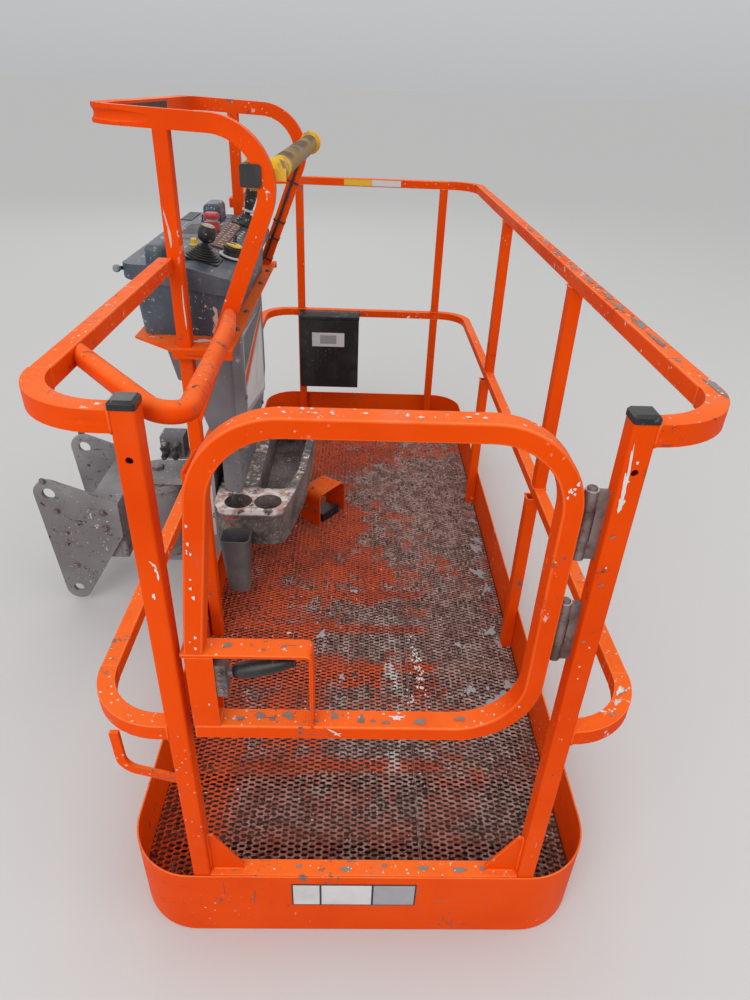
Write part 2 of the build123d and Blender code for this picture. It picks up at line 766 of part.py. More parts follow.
joysticks = (
    # name, place, flange side, boot radii, boot height, stem height, grip half profile
    ("joystick_near", near_joystick_place, 88.0, (43.0, 17.0), 42.0, 20.0,
     ((12.0, 0.0), (22.0, 10.0), (23.0, 26.0), (18.0, 40.0), (0.0, 44.0))),
    ("joystick_far", far_joystick_place, 76.0, (34.0, 15.0), 26.0, 8.0,
     ((17.0, 0.0), (17.0, 5.0), (12.0, 6.0), (16.0, 30.0), (19.0, 62.0), (14.0, 76.0), (0.0, 79.0))),
)
for name, place, side, radii, height, stem, grip_points in joysticks:
    profile = bellows(*radii, height)
    stem_radius = radii[1] - boot_lip
    profile.append((stem_radius, height))
    profile.append((stem_radius, height + stem))
    profile += [(radius, height + stem + z) for radius, z in grip_points]
    flange = extrude(RectangleRounded(side, side, flange_corner), flange_height + flange_seat)
    stick = Pos(0, 0, -flange_seat) * flange + Pos(0, 0, flange_height) * turned(profile)
    save(name, on_lid(*place, stick) - lid)
stop_profile = (
    # radius, height
    (0, 0), (23.0, 0), (21.0, 26.0), (14.0, 27.0), (14.0, 34.0),
    (22.0, 37.0), (22.0, 45.0), (17.0, 50.0), (0, 51.0),
)
save("stop_button", on_lid(*stop_place, turned(stop_profile)))
dial_profile = (
    # radius, height
    (0, 0), (31.0, 0), (31.0, 5.0), (24.0, 9.0), (23.0, 20.0), (26.0, 22.0), (26.0, 28.0), (0, 30.0),
)
save("selector_dial", on_lid(*dial_place, turned(dial_profile)))
strip_plate = Pos(0, 0, strip_height / 2) * Box(strip_width, strip_length, strip_height)
save("switch_strip", on_lid(*strip_place, strip_plate))

# Column under the shelf: a bracket that flares outwards at the top, with its cover
column_top = shelf_top - shelf_sheet
column_flare = (
    # distance outside left_x, drop below the shelf
    (95.0, 0.0), (90.0, 80.0), (68.0, 176.0), (36.0, 188.0), (-5.0, 328.0),
)
column_face = polygon([
    (column_right_x, tray_top), (column_right_x, column_top),
    *[(left_x - out, column_top - drop) for out, drop in column_flare],
    (column_left_x, column_top - 345.0), (column_left_x, tray_top),
])
column = across(column_face, column_near_y, column_far_y)
save("console_column", column)
cover_right_x = column_right_x + fit_gap + cover_sheet
cover_face = polygon([
    (cover_near_y, cover_bottom), (cover_far_y - cover_cut, cover_bottom),
    (cover_far_y, cover_bottom + cover_cut), (cover_far_y, column_top), (cover_near_y, column_top),
])
save("column_cover", sideways(cover_face, column_right_x + fit_gap, cover_right_x))

# Tool tray: a moulded body with two cups and a long trough
tray_left_x = left_x + 11.0
tray_right_x = left_x + 277.0
tray_face = polygon([
    (tray_left_x, tray_near_y),
    (tray_right_x - 56.0, tray_near_y),
    (tray_right_x - 34.0, tray_near_y + 113.0),
    (tray_right_x - 11.0, tray_near_y + 251.0),
    (tray_right_x, tray_near_y + 452.0),
    (tray_right_x, tray_far_y),
    (tray_left_x, tray_far_y),
])
near_corners = tray_face.vertices().filter_by(lambda vertex: vertex.Y < tray_near_y + 1)
far_corners = tray_face.vertices().filter_by(lambda vertex: vertex.Y > tray_far_y - 1)
tray_face = fillet(near_corners + far_corners, tray_corner)
tray_foot = offset(tray_face, -tray_draft)
tray = loft([Pos(0, 0, tray_bottom) * tray_foot, Pos(0, 0, tray_top) * tray_face])
tray += upward(offset(tray_foot, tray_lip), tray_bottom, tray_bottom + tray_lip_height)
trough_near_y = cup_y + cup_radius + 36.0
trough_far_y = tray_far_y - trough_rim
trough_left_x = cover_right_x + trough_rim / 2
trough_right_x = tray_right_x - trough_rim
trough_face = polygon([
    (trough_left_x, trough_near_y),
    (trough_right_x - 35.0, trough_near_y),
    (trough_right_x - 10.0, tray_near_y + 251.0),
    (trough_right_x, tray_near_y + 452.0),
    (trough_right_x, trough_far_y),
    (trough_left_x, trough_far_y),
])
trough_face = fillet(trough_face.vertices(), trough_corner)
tray -= upward(trough_face, tray_bottom + tray_floor, tray_top + cut_extra)
for x in cup_x:
    tray -= cylinder_z(x, cup_y, tray_top - cup_depth, tray_top + cut_extra, cup_radius)
save("tool_tray", tray)

# Pocket hung on the tray's near wall
pocket_x = left_x + 82.0
pocket_y = tray_near_y - 36.0
pocket_low = Pos(pocket_x, pocket_y + 6.0, pocket_bottom) * RectangleRounded(62.0, 52.0, 16.0)
pocket_high = Pos(pocket_x, pocket_y, pocket_top) * RectangleRounded(88.0, 72.0, 18.0)
inner_low = Pos(pocket_x, pocket_y + 6.0, pocket_bottom + pocket_wall) * RectangleRounded(56.0, 46.0, 13.0)
inner_high = Pos(pocket_x, pocket_y, pocket_top + pocket_wall) * RectangleRounded(82.0, 66.0, 15.0)
pocket = loft([pocket_low, pocket_high]) - loft([inner_low, inner_high])
pocket += block(pocket_x - 20.0, pocket_x + 20.0, pocket_y + 36.0 - pocket_wall, tray_near_y + tray_draft,
                pocket_top - 30.0, pocket_top) - tray
save("tool_pocket", pocket.solids().sort_by(SortBy.VOLUME)[-1])

# Document box on the end rail's left post
doc_back = low_end_y - fit_gap
doc_front = doc_back - document_depth
doc_body_top = document_top - document_lid_height
doc = block(*document_x, doc_front, doc_back, document_bottom, doc_body_top)
doc -= block(document_x[0] + document_wall, document_x[1] - document_wall, doc_front + document_wall,
             doc_back - document_wall, document_bottom + document_wall, doc_body_top + cut_extra)
save("document_box", doc)
lid_lip = 2.0
doc_lid_face = polygon([
    (doc_front - lid_lip, doc_body_top), (doc_back, doc_body_top), (doc_back, document_top),
    (doc_back - 22.0, document_top), (doc_front - lid_lip, document_top - 14.0),
])
doc_lid = sideways(doc_lid_face, document_x[0] - lid_lip, document_x[1] + lid_lip)
save("document_lid", doc_lid)

# Foot switch: a bent hood with a pedal inside


def arch(half_width_of_arch, low, high, bend):
    """Upright arch outline with rounded upper corners."""
    face = polygon([
        (-half_width_of_arch, low), (half_width_of_arch, low),
        (half_width_of_arch, high), (-half_width_of_arch, high),
    ])
    return fillet(face.vertices().group_by(Axis.Y)[-1], bend)


hood_outer = arch(hood_width / 2, 0, hood_height, hood_bend)
hood_inner = arch(hood_width / 2 - hood_sheet, -cut_extra, hood_height - hood_sheet, hood_bend - hood_sheet)
hood_place = Pos(hood_x, hood_y, deck_top) * Rot(0, 0, hood_turn)
save("foot_switch_guard", hood_place * across(hood_outer - hood_inner, -hood_depth / 2, hood_depth / 2))
pedal_face = polygon([(-38.0, 0), (38.0, 0), (38.0, pedal_height), (-38.0, pedal_height / 2)])
pedal_half = hood_width / 2 - hood_sheet - 24.0
save("foot_pedal", hood_place * Rot(0, 0, -90) * across(pedal_face, -pedal_half, pedal_half))

# Sensor bar along the guard, its brackets, switch box and cable
bar_z = guard_top - bar_drop
bar_near_y = leg_front_y[0] + guard_depth + bracket_sheet + fit_gap
bar_far_y = leg_front_y[1] - bracket_sheet - fit_gap
bar_points = [
    (brace_x(bar_z) - 44.0, bar_near_y, bar_z),
    (brace_x(bar_z) - 10.0, bar_near_y + 100.0, bar_z),
    (brace_x(bar_z) + 14.0, bar_far_y, bar_z + 6.0),
]
bar = along(bar_points, 60.0, Circle(bar_radius))
bar -= block(2 * guard_outer_x, 0, 0, bar_near_y, 0, 2 * guard_top)
bar -= block(2 * guard_outer_x, 0, bar_far_y, platform_length, 0, 2 * guard_top)
for (x, y, z), low, high in ((bar_points[0], 0, flange_sheet), (bar_points[2], -flange_sheet, 0)):
    bar += Pos(x, y + (low + high) / 2, z) * Rot(90, 0, 0) * Cylinder(flange_radius, flange_sheet)
save("sensor_bar", bar)
brackets = []
bracket_starts = (leg_front_y[0] + guard_depth, leg_front_y[1] - bracket_sheet)
for y0, (x, y, z) in zip(bracket_starts, (bar_points[0], bar_points[2])):
    brackets.append(block(x - flange_radius, max(x, brace_x(z)) + guard_mid, y0, y0 + bracket_sheet,
                          z - flange_radius, z + flange_radius))
save("sensor_brackets", join(brackets))
box_x = bar_points[0][0] - 6.0
box_y = leg_front_y[0] + guard_depth
switch = block(box_x - switch_box / 2, box_x + switch_box / 2, box_y - switch_box_depth, box_y,
               bar_z - switch_box / 2, bar_z + switch_box / 2)
switch = chamfer(switch.edges().filter_by(Axis.Y), 4.0)
save("sensor_switch_box", switch - guard)
cable_y = leg_front_y[1] - cable_radius - fit_gap
cable_top_z = bar_z - flange_radius - 4.0
cable_low_z = shelf_top + 30.0
cable_points = [
    (brace_x(cable_top_z) - 4.0, cable_y, cable_top_z),
    (brace_x(cable_low_z) - 4.0, cable_y, cable_low_z),
    (brace_x(cable_low_z) - 30.0, cable_y - 14.0, shelf_top + cable_radius),
]
save("sensor_cable", along(cable_points, 30.0, Circle(cable_radius)))

# Rotator mount on the basket: a plate with two lugs and the fixed shaft
mount_back_x = -(half_width + fit_gap)
mount_top = mid_rail_top - rail - 10.0
mount_y = (axis_y - mount_half_width, axis_y + mount_half_width)
mount = block(mount_back_x - mount_sheet, mount_back_x, *mount_y, mount_bottom, mount_top)
low_lug_z = housing_bottom - swing_gap - lug_sheet
high_lug_z = housing_top + swing_gap
lug_face = Pos((axis_x + mount_back_x) / 2, axis_y) * Rectangle(mount_back_x - axis_x, 2 * lug_half_width)
lug_face += Pos(axis_x, axis_y) * Circle(lug_half_width)
for z in (low_lug_z, high_lug_z):
    mount += upward(lug_face, z, z + lug_sheet)
rib_reach = 110.0
for z0, z1, tip in ((high_lug_z + lug_sheet, mount_top, 1), (mount_bottom, low_lug_z, -1)):
    seat_z = z0 if tip > 0 else z1
    wall_z = z1 if tip > 0 else z0
    rib = polygon([(mount_back_x - mount_sheet, seat_z), (mount_back_x - rib_reach, seat_z),
                   (mount_back_x - mount_sheet, wall_z)])
    for y in (axis_y - lug_half_width, axis_y + lug_half_width - mount_sheet):
        mount += across(rib, y, y + mount_sheet)
mount += cylinder_z(axis_x, axis_y, low_lug_z, high_lug_z + lug_sheet, pin_radius)
shelf_reach_x = axis_x + 28.0
mount += block(shelf_reach_x, mount_back_x, axis_y - connector_size[1] / 2, axis_y + connector_size[1] / 2,
               connector_shelf_z - 6.0, connector_shelf_z)
save("rotator_mount", mount)
connector_x = shelf_reach_x + connector_size[0] / 2
connector_z = connector_shelf_z + fit_gap + connector_size[2] / 2
connector = Pos(connector_x, axis_y, connector_z) * Box(*connector_size)
for column_index in range(2):
    for row_index in range(2):
        plug_x = connector_x + (column_index - 0.5) * 34.0
        plug_z = connector_shelf_z + 20.0 + row_index * 28.0
        plug_y = axis_y - connector_size[1] / 2 - 14.0
        connector += Pos(plug_x, plug_y, plug_z) * Rot(90, 0, 0) * Cylinder(10.0, 28.0)
save("connector_block", connector)

# Rotator housing: a drum with rims, bolted to the web of the support
housing = cylinder_z(axis_x, axis_y, housing_bottom, housing_top, housing_radius)
for z in (housing_bottom, housing_top - housing_rim_height):
    housing += cylinder_z(axis_x, axis_y, z, z + housing_rim_height, housing_radius + housing_rim)
housing += block(web_front_x, axis_x, axis_y - housing_radius, axis_y + housing_radius,
                 housing_bottom + housing_rim_height, housing_top - housing_rim_height)
housing -= cylinder_z(axis_x, axis_y, 0, guard_top, pin_radius + pin_running_gap)
save("rotator_housing", housing)

# Support: a web between two eye plates that carry the jib's pin and the level link's pin
web_bottom = housing_bottom + 40.0
web_top = housing_top - 10.0
web_face = polygon([
    (web_front_x, web_bottom), (web_front_x, web_top), (web_back_x, web_top),
    (web_back_x, web_bottom + 110.0), (web_back_x + 36.0, web_bottom),
])
inner_half = support_half_width - support_plate
save("support_web", across(web_face, axis_y - inner_half, axis_y + inner_half))
plates = []
for y in (axis_y - support_half_width, axis_y + support_half_width - support_plate):
    eyes = [(jib_bore, jib_eye_radius, jib_bore_radius), (link_bore, link_eye_radius, link_bore_radius)]
    rims = [edge for centre, eye, bore in eyes for edge in (Pos(*centre) * Circle(eye)).edges()]
    tab = Rectangle(web_front_x - web_back_x, tab_height)
    tab = Pos((web_back_x + web_front_x) / 2, web_top - tab_height / 2) * tab
    face = make_hull(rims + list(tab.edges()))
    for centre, eye, bore in eyes:
        face -= Pos(*centre) * Circle(bore)
    plates.append(across(face, y, y + support_plate))
save("support_plates", join(plates))

os.makedirs("parts", exist_ok=True)
boxes = [shape.bounding_box() for shape in made.values()]
low_x = min(box.min.X for box in boxes)
high_x = max(box.max.X for box in boxes)
low_y = min(box.min.Y for box in boxes)
high_y = max(box.max.Y for box in boxes)
low_z = min(box.min.Z for box in boxes)
shift = Pos(-(low_x + high_x) / 2, -(low_y + high_y) / 2, -low_z)
for name, shape in made.items():
    export_step(shift * shape, f"parts/{name}.step")
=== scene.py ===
import math
import random

import bpy
from mathutils import Matrix, Vector
from mathutils.bvhtree import BVHTree


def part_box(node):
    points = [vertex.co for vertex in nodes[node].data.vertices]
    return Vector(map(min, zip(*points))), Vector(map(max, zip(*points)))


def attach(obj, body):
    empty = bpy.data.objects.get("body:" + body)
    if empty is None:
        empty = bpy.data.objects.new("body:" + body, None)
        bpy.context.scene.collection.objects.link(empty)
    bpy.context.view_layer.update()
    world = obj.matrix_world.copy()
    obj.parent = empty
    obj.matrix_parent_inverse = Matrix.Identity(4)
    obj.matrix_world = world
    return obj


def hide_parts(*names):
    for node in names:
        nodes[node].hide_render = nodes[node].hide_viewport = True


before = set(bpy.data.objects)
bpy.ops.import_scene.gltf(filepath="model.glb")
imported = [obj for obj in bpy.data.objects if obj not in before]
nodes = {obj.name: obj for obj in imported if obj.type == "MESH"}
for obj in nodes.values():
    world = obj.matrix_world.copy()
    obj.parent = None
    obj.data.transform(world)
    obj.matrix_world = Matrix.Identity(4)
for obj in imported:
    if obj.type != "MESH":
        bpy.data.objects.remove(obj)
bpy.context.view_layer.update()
random.seed(7)

UP = Vector((0, 0, 1))
BACK = Vector((0, 1, 0))
FRONT = Vector((0, -1, 0))
RIGHT = Vector((1, 0, 0))
LEFT = Vector((-1, 0, 0))

board_low, board_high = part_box("toe_board")
CX = (board_low[0] + board_high[0]) / 2
Y0 = board_low[1]
Z0 = board_low[2]

# heights over the toe board's lower edge, in metres
TOP_RAIL = 1.147
MID_RAIL = 0.602
LATCH_GUARD = 0.756
SHELF = 0.947
DECK_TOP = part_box("deck_panel_left")[1][2] - Z0
SILL_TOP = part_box("entry_sill")[1][2] - Z0

GATE_FACE = 0.008  # front face of the gate frame, behind the toe board's front
LIFT = 0.0002  # small pieces stand this far off the face they lie on
EVEN = (1, 1, 1)  # no stretch


def at(x, y, z):
    """Point measured from the front centre of the toe board's lower edge, in metres."""
    return Vector((CX + x, Y0 + y, Z0 + z))


def box_of(node):
    """A node's box as two vectors."""
    low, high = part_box(node)
    return Vector(low), Vector(high)


# shaders
class Shader:
    """Adds and links the shader nodes of one material."""

    def __init__(self, name):
        self.mat = bpy.data.materials.new(name)
        self.mat.use_nodes = True
        self.tree = self.mat.node_tree
        self.tree.nodes.clear()
        out = self.add("OutputMaterial", {})
        self.bsdf = self.add("BsdfPrincipled", {})
        self.tree.links.new(self.bsdf.outputs["BSDF"], out.inputs["Surface"])
        self.coord = self.add("TexCoord", {}).outputs["Object"]

    def add(self, kind, inputs, **settings):
        """New node with its settings, and its inputs linked or set."""
        node = self.tree.nodes.new("ShaderNode" + kind)
        for name, value in settings.items():
            setattr(node, name, value)
        for name, value in inputs.items():
            self.put(node.inputs[name], value)
        return node

    def put(self, socket, value):
        """Link an output to a socket, or set the socket to a constant."""
        if isinstance(value, bpy.types.NodeSocket):
            self.tree.links.new(value, socket)
        elif isinstance(value, tuple) and len(value) < len(socket.default_value):
            socket.default_value = (*value, 1.0)
        else:
            socket.default_value = value

    def moved(self, stretch, shift):
        """Object coordinates, stretched and shifted."""
        place = (shift, shift * 0.7, shift * 1.3)
        inputs = {"Vector": self.coord, "Location": place, "Scale": stretch}
        return self.add("Mapping", inputs).outputs["Vector"]

    def noise(self, scale, detail=4.0, rough=0.55, stretch=EVEN, shift=0.0):
        inputs = {"Scale": scale, "Detail": detail, "Roughness": rough}
        inputs["Vector"] = self.moved(stretch, shift)
        return self.add("TexNoise", inputs).outputs["Fac"]

    def cells(self, scale, feature="F1", stretch=EVEN, shift=0.0):
        """Distance within a pattern of cells."""
        inputs = {"Scale": scale, "Vector": self.moved(stretch, shift)}
        return self.add("TexVoronoi", inputs, feature=feature).outputs["Distance"]

    def ramp(self, value, low, high, a=0.0, b=1.0):
        """Smooth step of a value between two thresholds."""
        inputs = {"Value": value, "From Min": low, "From Max": high, "To Min": a, "To Max": b}
        return self.add("MapRange", inputs, interpolation_type="SMOOTHSTEP").outputs["Result"]

    def patches(self, scale, detail, rough, shift, low, high, a=0.0, b=1.0, stretch=EVEN):
        """Noise cut into soft patches between two thresholds."""
        return self.ramp(self.noise(scale, detail, rough, stretch, shift), low, high, a, b)

    def math(self, operation, a, b=0.0, use_clamp=False):
        return self.add("Math", {0: a, 1: b}, operation=operation, use_clamp=use_clamp).outputs[0]

    def times(self, a, b):
        """Product, held between 0 and 1, as are the next two."""
        return self.math("MULTIPLY", a, b, True)

    def plus(self, a, b):
        return self.math("ADD", a, b, True)

    def minus(self, a, b):
        return self.math("SUBTRACT", a, b, True)

    def larger(self, a, b):
        return self.math("MAXIMUM", a, b)

    def mix(self, fac, a, b):
        """Colour mix."""
        return self.add("Mix", {0: fac, 6: a, 7: b}, data_type="RGBA").outputs[2]

    def blend(self, fac, a, b):
        """Number mix."""
        return self.add("Mix", {0: fac, 2: a, 3: b}, data_type="FLOAT").outputs[0]

    def axis(self, name):
        """One component of the object coordinates."""
        return self.add("SeparateXYZ", {0: self.coord}).outputs["XYZ".index(name)]

    def facing_up(self, low, high, a=0.0, b=1.0):
        """Mask of the faces that look upward."""
        normal = self.add("NewGeometry", {}).outputs["Normal"]
        return self.ramp(self.add("SeparateXYZ", {0: normal}).outputs[2], low, high, a, b)

    def zone(self, x=None, y=None, z=None, soft=0.02):
        """Mask of a box measured from the toe board's front centre, with soft sides."""
        mask = None
        for name, span, start in (("X", x, CX), ("Y", y, Y0), ("Z", z, Z0)):
            if span is None:
                continue
            value = self.axis(name)
            low, high = start + span[0], start + span[1]
            rise = self.ramp(value, low - soft, low + soft)
            both = self.times(rise, self.ramp(value, high + soft, high - soft))
            mask = both if mask is None else self.times(mask, both)
        return mask

    def bump(self, height, strength, distance):
        inputs = {"Strength": strength, "Distance": distance, "Height": height}
        self.put(self.bsdf.inputs["Normal"], self.add("Bump", inputs).outputs["Normal"])

    def finish(self, color, rough, metal=0.0, spec=0.5):
        for name, value in (("Base Color", color), ("Roughness", rough), ("Metallic", metal),
                            ("Specular IOR Level", spec)):
            self.put(self.bsdf.inputs[name], value)
        return self.mat


def splatter(s, amount, scale=1.0, shift=0.0, extra=None):
    """Mask of cement and paint splashes: ragged spots, denser in patches and in an extra zone."""
    field = s.noise(2.6 * scale, 2.0, 0.6, shift=3.1 + shift)
    if extra is not None:
        field = s.plus(field, s.times(extra, 0.22))
    grain = s.noise(150.0, 2.0, 0.7, shift=shift)
    big = s.cells(17.0 * scale, stretch=(1.0, 0.8, 0.6), shift=1.7 + shift)
    big = s.plus(big, s.times(grain, 0.42))
    small = s.plus(s.cells(75.0 * scale, shift=5.2 + shift), s.times(grain, 0.5))
    less = 0.14 * amount
    big_places = s.ramp(field, 0.66 - less, 0.74 - less)
    small_places = s.ramp(field, 0.60 - less, 0.74 - less)
    big = s.times(s.ramp(big, 0.31, 0.25), big_places)
    return s.larger(big, s.times(s.ramp(small, 0.41, 0.33), small_places))


def smears(s, amount, extra=None):
    """Mask of ragged brush-like smears of dried paint in a few places."""
    field = s.noise(1.9, 1.0, 0.5, shift=11.0)
    if extra is not None:
        field = s.plus(field, s.times(extra, 0.20))
    body = s.noise(42.0, 5.0, 0.82, stretch=(1.0, 1.0, 0.45), shift=8.0)
    less = 0.12 * amount
    return s.times(s.ramp(body, 0.625, 0.650), s.ramp(field, 0.68 - less, 0.76 - less))


ORANGE = (0.755, 0.067, 0.0008)
ORANGE_DEEP = (0.660, 0.050, 0.0008)
# paler orange of upward faces: a painted sheen
ORANGE_TOP_SHEEN = (0.820, 0.130, 0.017)
CHIP = (0.19, 0.145, 0.135)
DARK_CHIP = (0.060, 0.035, 0.028)
RUST = (0.20, 0.050, 0.020)
RUSTY_CHIP = (0.13, 0.060, 0.035)
DUST = (0.30, 0.22, 0.18)
PALE = (0.74, 0.68, 0.62)
PALE_TINTED = (0.60, 0.46, 0.40)


def painted(name, color, deep, chip_color, wear, splash, gloss=0.42, rust=0.25,
            worn_zone=None, splash_zone=None, top_sheen=None):
    """Gloss paint on steel: painted sheen on upward faces, chips, rust stains, dust and splashes."""
    s = Shader(name)
    tone = s.noise(3.0, 3.0, 0.6, shift=2.0)
    base = s.mix(s.ramp(tone, 0.35, 0.70), color, deep)
    if top_sheen:
        # painted sheen: upward faces get a paler orange, mixed in patches
        top = s.facing_up(0.35, 0.95)
        base = s.mix(top, base, s.mix(s.ramp(tone, 0.40, 0.75, 0.0, 0.6), top_sheen, color))
    streak = s.noise(9.0, 3.0, 0.6, stretch=(1.0, 1.0, 0.18), shift=6.0)
    base = s.mix(s.ramp(streak, 0.55, 0.80, 0.0, 0.35), base, deep)
    dust = s.patches(12.0, 4.0, 0.65, 9.0, 0.54, 0.78, 0.0, 0.22)
    base = s.mix(s.times(dust, s.facing_up(0.2, 0.9, 0.15, 1.0)), base, DUST)
    field = s.noise(38.0, 5.0, 0.72, shift=4.0)
    zone = s.noise(3.6, 2.0, 0.6, shift=7.7)
    if worn_zone:
        zone = s.plus(zone, s.times(worn_zone(s), 0.20))
    less, wide = 0.05 * wear, 0.10 * wear
    chips = s.ramp(field, 0.650 - less, 0.668 - less)
    chips = s.times(chips, s.ramp(zone, 0.56 - wide, 0.66 - wide))
    scratch_x = s.patches(120.0, 1.0, 0.5, 2.2, 0.70, 0.73, stretch=(0.10, 1.0, 1.0))
    scratch_z = s.patches(120.0, 1.0, 0.5, 3.2, 0.72, 0.75, stretch=(1.0, 1.0, 0.10))
    scratch = s.times(s.larger(scratch_x, scratch_z), s.ramp(zone, 0.50, 0.60))
    bare = s.larger(chips, s.times(scratch, 0.7))
    stain = s.times(s.ramp(field, 0.60 - less, 0.66), s.ramp(zone, 0.50, 0.64, 0.0, rust))
    base = s.mix(stain, base, RUST)
    base = s.mix(bare, base, s.mix(s.ramp(tone, 0.40, 0.60), chip_color, DARK_CHIP))
    extra = splash_zone(s) if splash_zone else None
    white = s.larger(splatter(s, splash, extra=extra), smears(s, splash, extra))
    base = s.mix(white, base, s.mix(s.ramp(streak, 0.40, 0.60), PALE, PALE_TINTED))
    rough = s.blend(bare, s.ramp(tone, 0.3, 0.8, gloss, gloss + 0.20), 0.62)
    rough = s.blend(white, rough, 0.80)
    height = s.plus(s.times(s.noise(170.0, 2.0, 0.6), 0.30), s.times(white, 0.55))
    s.bump(s.minus(height, s.times(bare, 0.30)), 0.40, 0.0012)
    return s.finish(base, rough, s.times(bare, 0.25), 0.05)


def plastic(name, color, pale, splash, rough=0.55, scuff=0.5, splash_zone=None, dusty=0.50,
            scratched=0.0):
    """Moulded plastic: fine grain, greyed scuffs, dust and splashes."""
    s = Shader(name)
    cloud = s.noise(7.0, 4.0, 0.6, shift=1.0)
    base = s.mix(s.ramp(cloud, 0.40, 0.75, 0.0, scuff), color, pale)
    scuffs = s.cells(34.0, "DISTANCE_TO_EDGE", (1.0, 0.35, 0.5), 3.0)
    scuffs = s.times(s.ramp(scuffs, 0.016, 0.005), s.ramp(cloud, 0.50, 0.62))
    base = s.mix(s.times(scuffs, 0.45), base, pale)
    dust = s.patches(19.0, 4.0, 0.7, 6.0, 0.48, 0.72, 0.0, dusty)
    dust = s.times(dust, s.facing_up(0.0, 0.9, 0.15, 1.0))
    base = s.mix(dust, base, (0.20, 0.175, 0.165))
    if scratched:
        marks = s.patches(75.0, 3.0, 0.75, 2.7, 0.615, 0.640, stretch=(1.0, 0.30, 1.0))
        marks = s.times(marks, s.patches(9.0, 2.0, 0.6, 4.4, 0.42, 0.60))
        base = s.mix(s.times(marks, scratched), base, (0.56, 0.56, 0.55))
    extra = splash_zone(s) if splash_zone else None
    white = splatter(s, splash, 1.2, 4.0, extra)
    base = s.mix(white, base, (0.58, 0.54, 0.51))
    rough = s.blend(white, s.ramp(cloud, 0.3, 0.8, rough - 0.1, rough + 0.15), 0.8)
    height = s.plus(s.times(s.noise(420.0, 1.0, 0.5), 0.5), s.times(white, 0.5))
    s.bump(height, 0.30, 0.0008)
    return s.finish(base, rough, 0.0, 0.40)


def rail_wear(s):
    """The right rail's upper face is the most worn."""
    up = s.facing_up(0.5, 0.9)
    return s.times(up, s.zone(x=(0.38, 0.60), z=(1.10, 1.20), soft=0.03))


def rail_splash(s):
    """Splashes lie thickest on the right rail and along the upper faces."""
    up = s.facing_up(0.4, 0.9, 0.15, 0.55)
    return s.larger(up, s.zone(x=(0.36, 0.60), y=(0.2, 2.4), z=(1.10, 1.20), soft=0.05))


def console_splash(s):
    """A pale run lies on the console's near face."""
    return s.zone(x=(-0.425, -0.375), y=(0.84, 0.90), z=(0.95, 1.08))


def tray_material():
    """Dark moulded plastic crusted with pale paint on its near rim, cups and upper edge."""
    s = Shader("tray_plastic")
    cloud = s.noise(9.0, 4.0, 0.6, shift=1.0)
    base = s.mix(s.ramp(cloud, 0.35, 0.70), (0.060, 0.050, 0.050), (0.190, 0.155, 0.150))
    dirt = s.patches(90.0, 3.0, 0.7, 3.0, 0.52, 0.62)
    base = s.mix(s.times(dirt, 0.55), base, (0.24, 0.20, 0.17))
    up = s.facing_up(0.5, 0.9)
    rim = s.times(up, s.zone(z=(0.395, 0.420), soft=0.004))
    near = s.times(rim, s.zone(y=(0.80, 1.075)))
    drips = s.zone(y=(0.92, 0.967), z=(0.390, 0.420), soft=0.005)
    body = s.noise(26.0, 5.0, 0.75, shift=6.0)
    crust = s.times(s.ramp(body, 0.40, 0.46), s.larger(near, drips))
    far = s.times(s.patches(40.0, 5.0, 0.75, 2.0, 0.53, 0.58), rim)
    flecks = s.times(s.patches(130.0, 3.0, 0.7, 7.0, 0.60, 0.64), s.ramp(cloud, 0.42, 0.55))
    base = s.mix(s.times(flecks, 0.9), base, (0.42, 0.34, 0.20))
    white = s.larger(s.larger(crust, far), splatter(s, 1.0, 1.2, 4.0))
    stained = s.patches(34.0, 3.0, 0.6, 5.0, 0.42, 0.58)
    base = s.mix(white, base, s.mix(stained, (0.70, 0.67, 0.64), (0.50, 0.31, 0.26)))
    height = s.plus(s.times(s.noise(240.0, 2.0, 0.6), 0.4), s.times(white, 0.8))
    s.bump(height, 0.5, 0.0016)
    return s.finish(base, s.blend(white, 0.55, 0.85), 0.0, 0.35)


def foam_material():
    """Yellow foam roll, browned and dark on its upper side, still bright at both ends."""
    s = Shader("yellow_foam")
    cloud = s.noise(14.0, 4.0, 0.65, stretch=(1.0, 0.4, 1.0), shift=1.0)
    base = s.mix(s.ramp(cloud, 0.38, 0.66), (0.30, 0.185, 0.060), (0.26, 0.19, 0.13))
    top = s.times(s.facing_up(0.35, 0.85), s.patches(11.0, 4.0, 0.6, 4.0, 0.36, 0.52))
    base = s.mix(s.times(top, 0.80), base, (0.075, 0.038, 0.028))
    near_end = s.zone(y=(0.70, 0.990), soft=0.030)
    ends = s.larger(near_end, s.zone(y=(1.615, 1.80), soft=0.010))
    bright = s.times(ends, s.patches(30.0, 3.0, 0.6, 3.0, 0.66, 0.50))
    base = s.mix(bright, base, (0.76, 0.43, 0.010))
    base = s.mix(splatter(s, 0.3, 1.2, 4.0), base, (0.60, 0.56, 0.52))
    s.bump(s.noise(260.0, 3.0, 0.6), 0.5, 0.0012)
    return s.finish(base, 0.75, 0.0, 0.2)


def worn_steel(name, color, deep, rough, metal):
    """Handled bare steel: darker grime, lighter rubbed places and fine grain."""
    s = Shader(name)
    cloud = s.noise(24.0, 4.0, 0.6, shift=2.0)
    base = s.mix(s.ramp(cloud, 0.38, 0.66), color, deep)
    base = s.mix(s.patches(70.0, 4.0, 0.7, 5.0, 0.56, 0.66, 0.0, 0.8), base, (0.13, 0.050, 0.030))
    base = s.mix(splatter(s, 0.3, 1.4, 2.0), base, (0.62, 0.58, 0.55))
    s.bump(s.noise(300.0, 2.0, 0.6), 0.4, 0.0008)
    return s.finish(base, s.ramp(cloud, 0.3, 0.7, rough, rough + 0.18), metal, 0.4)


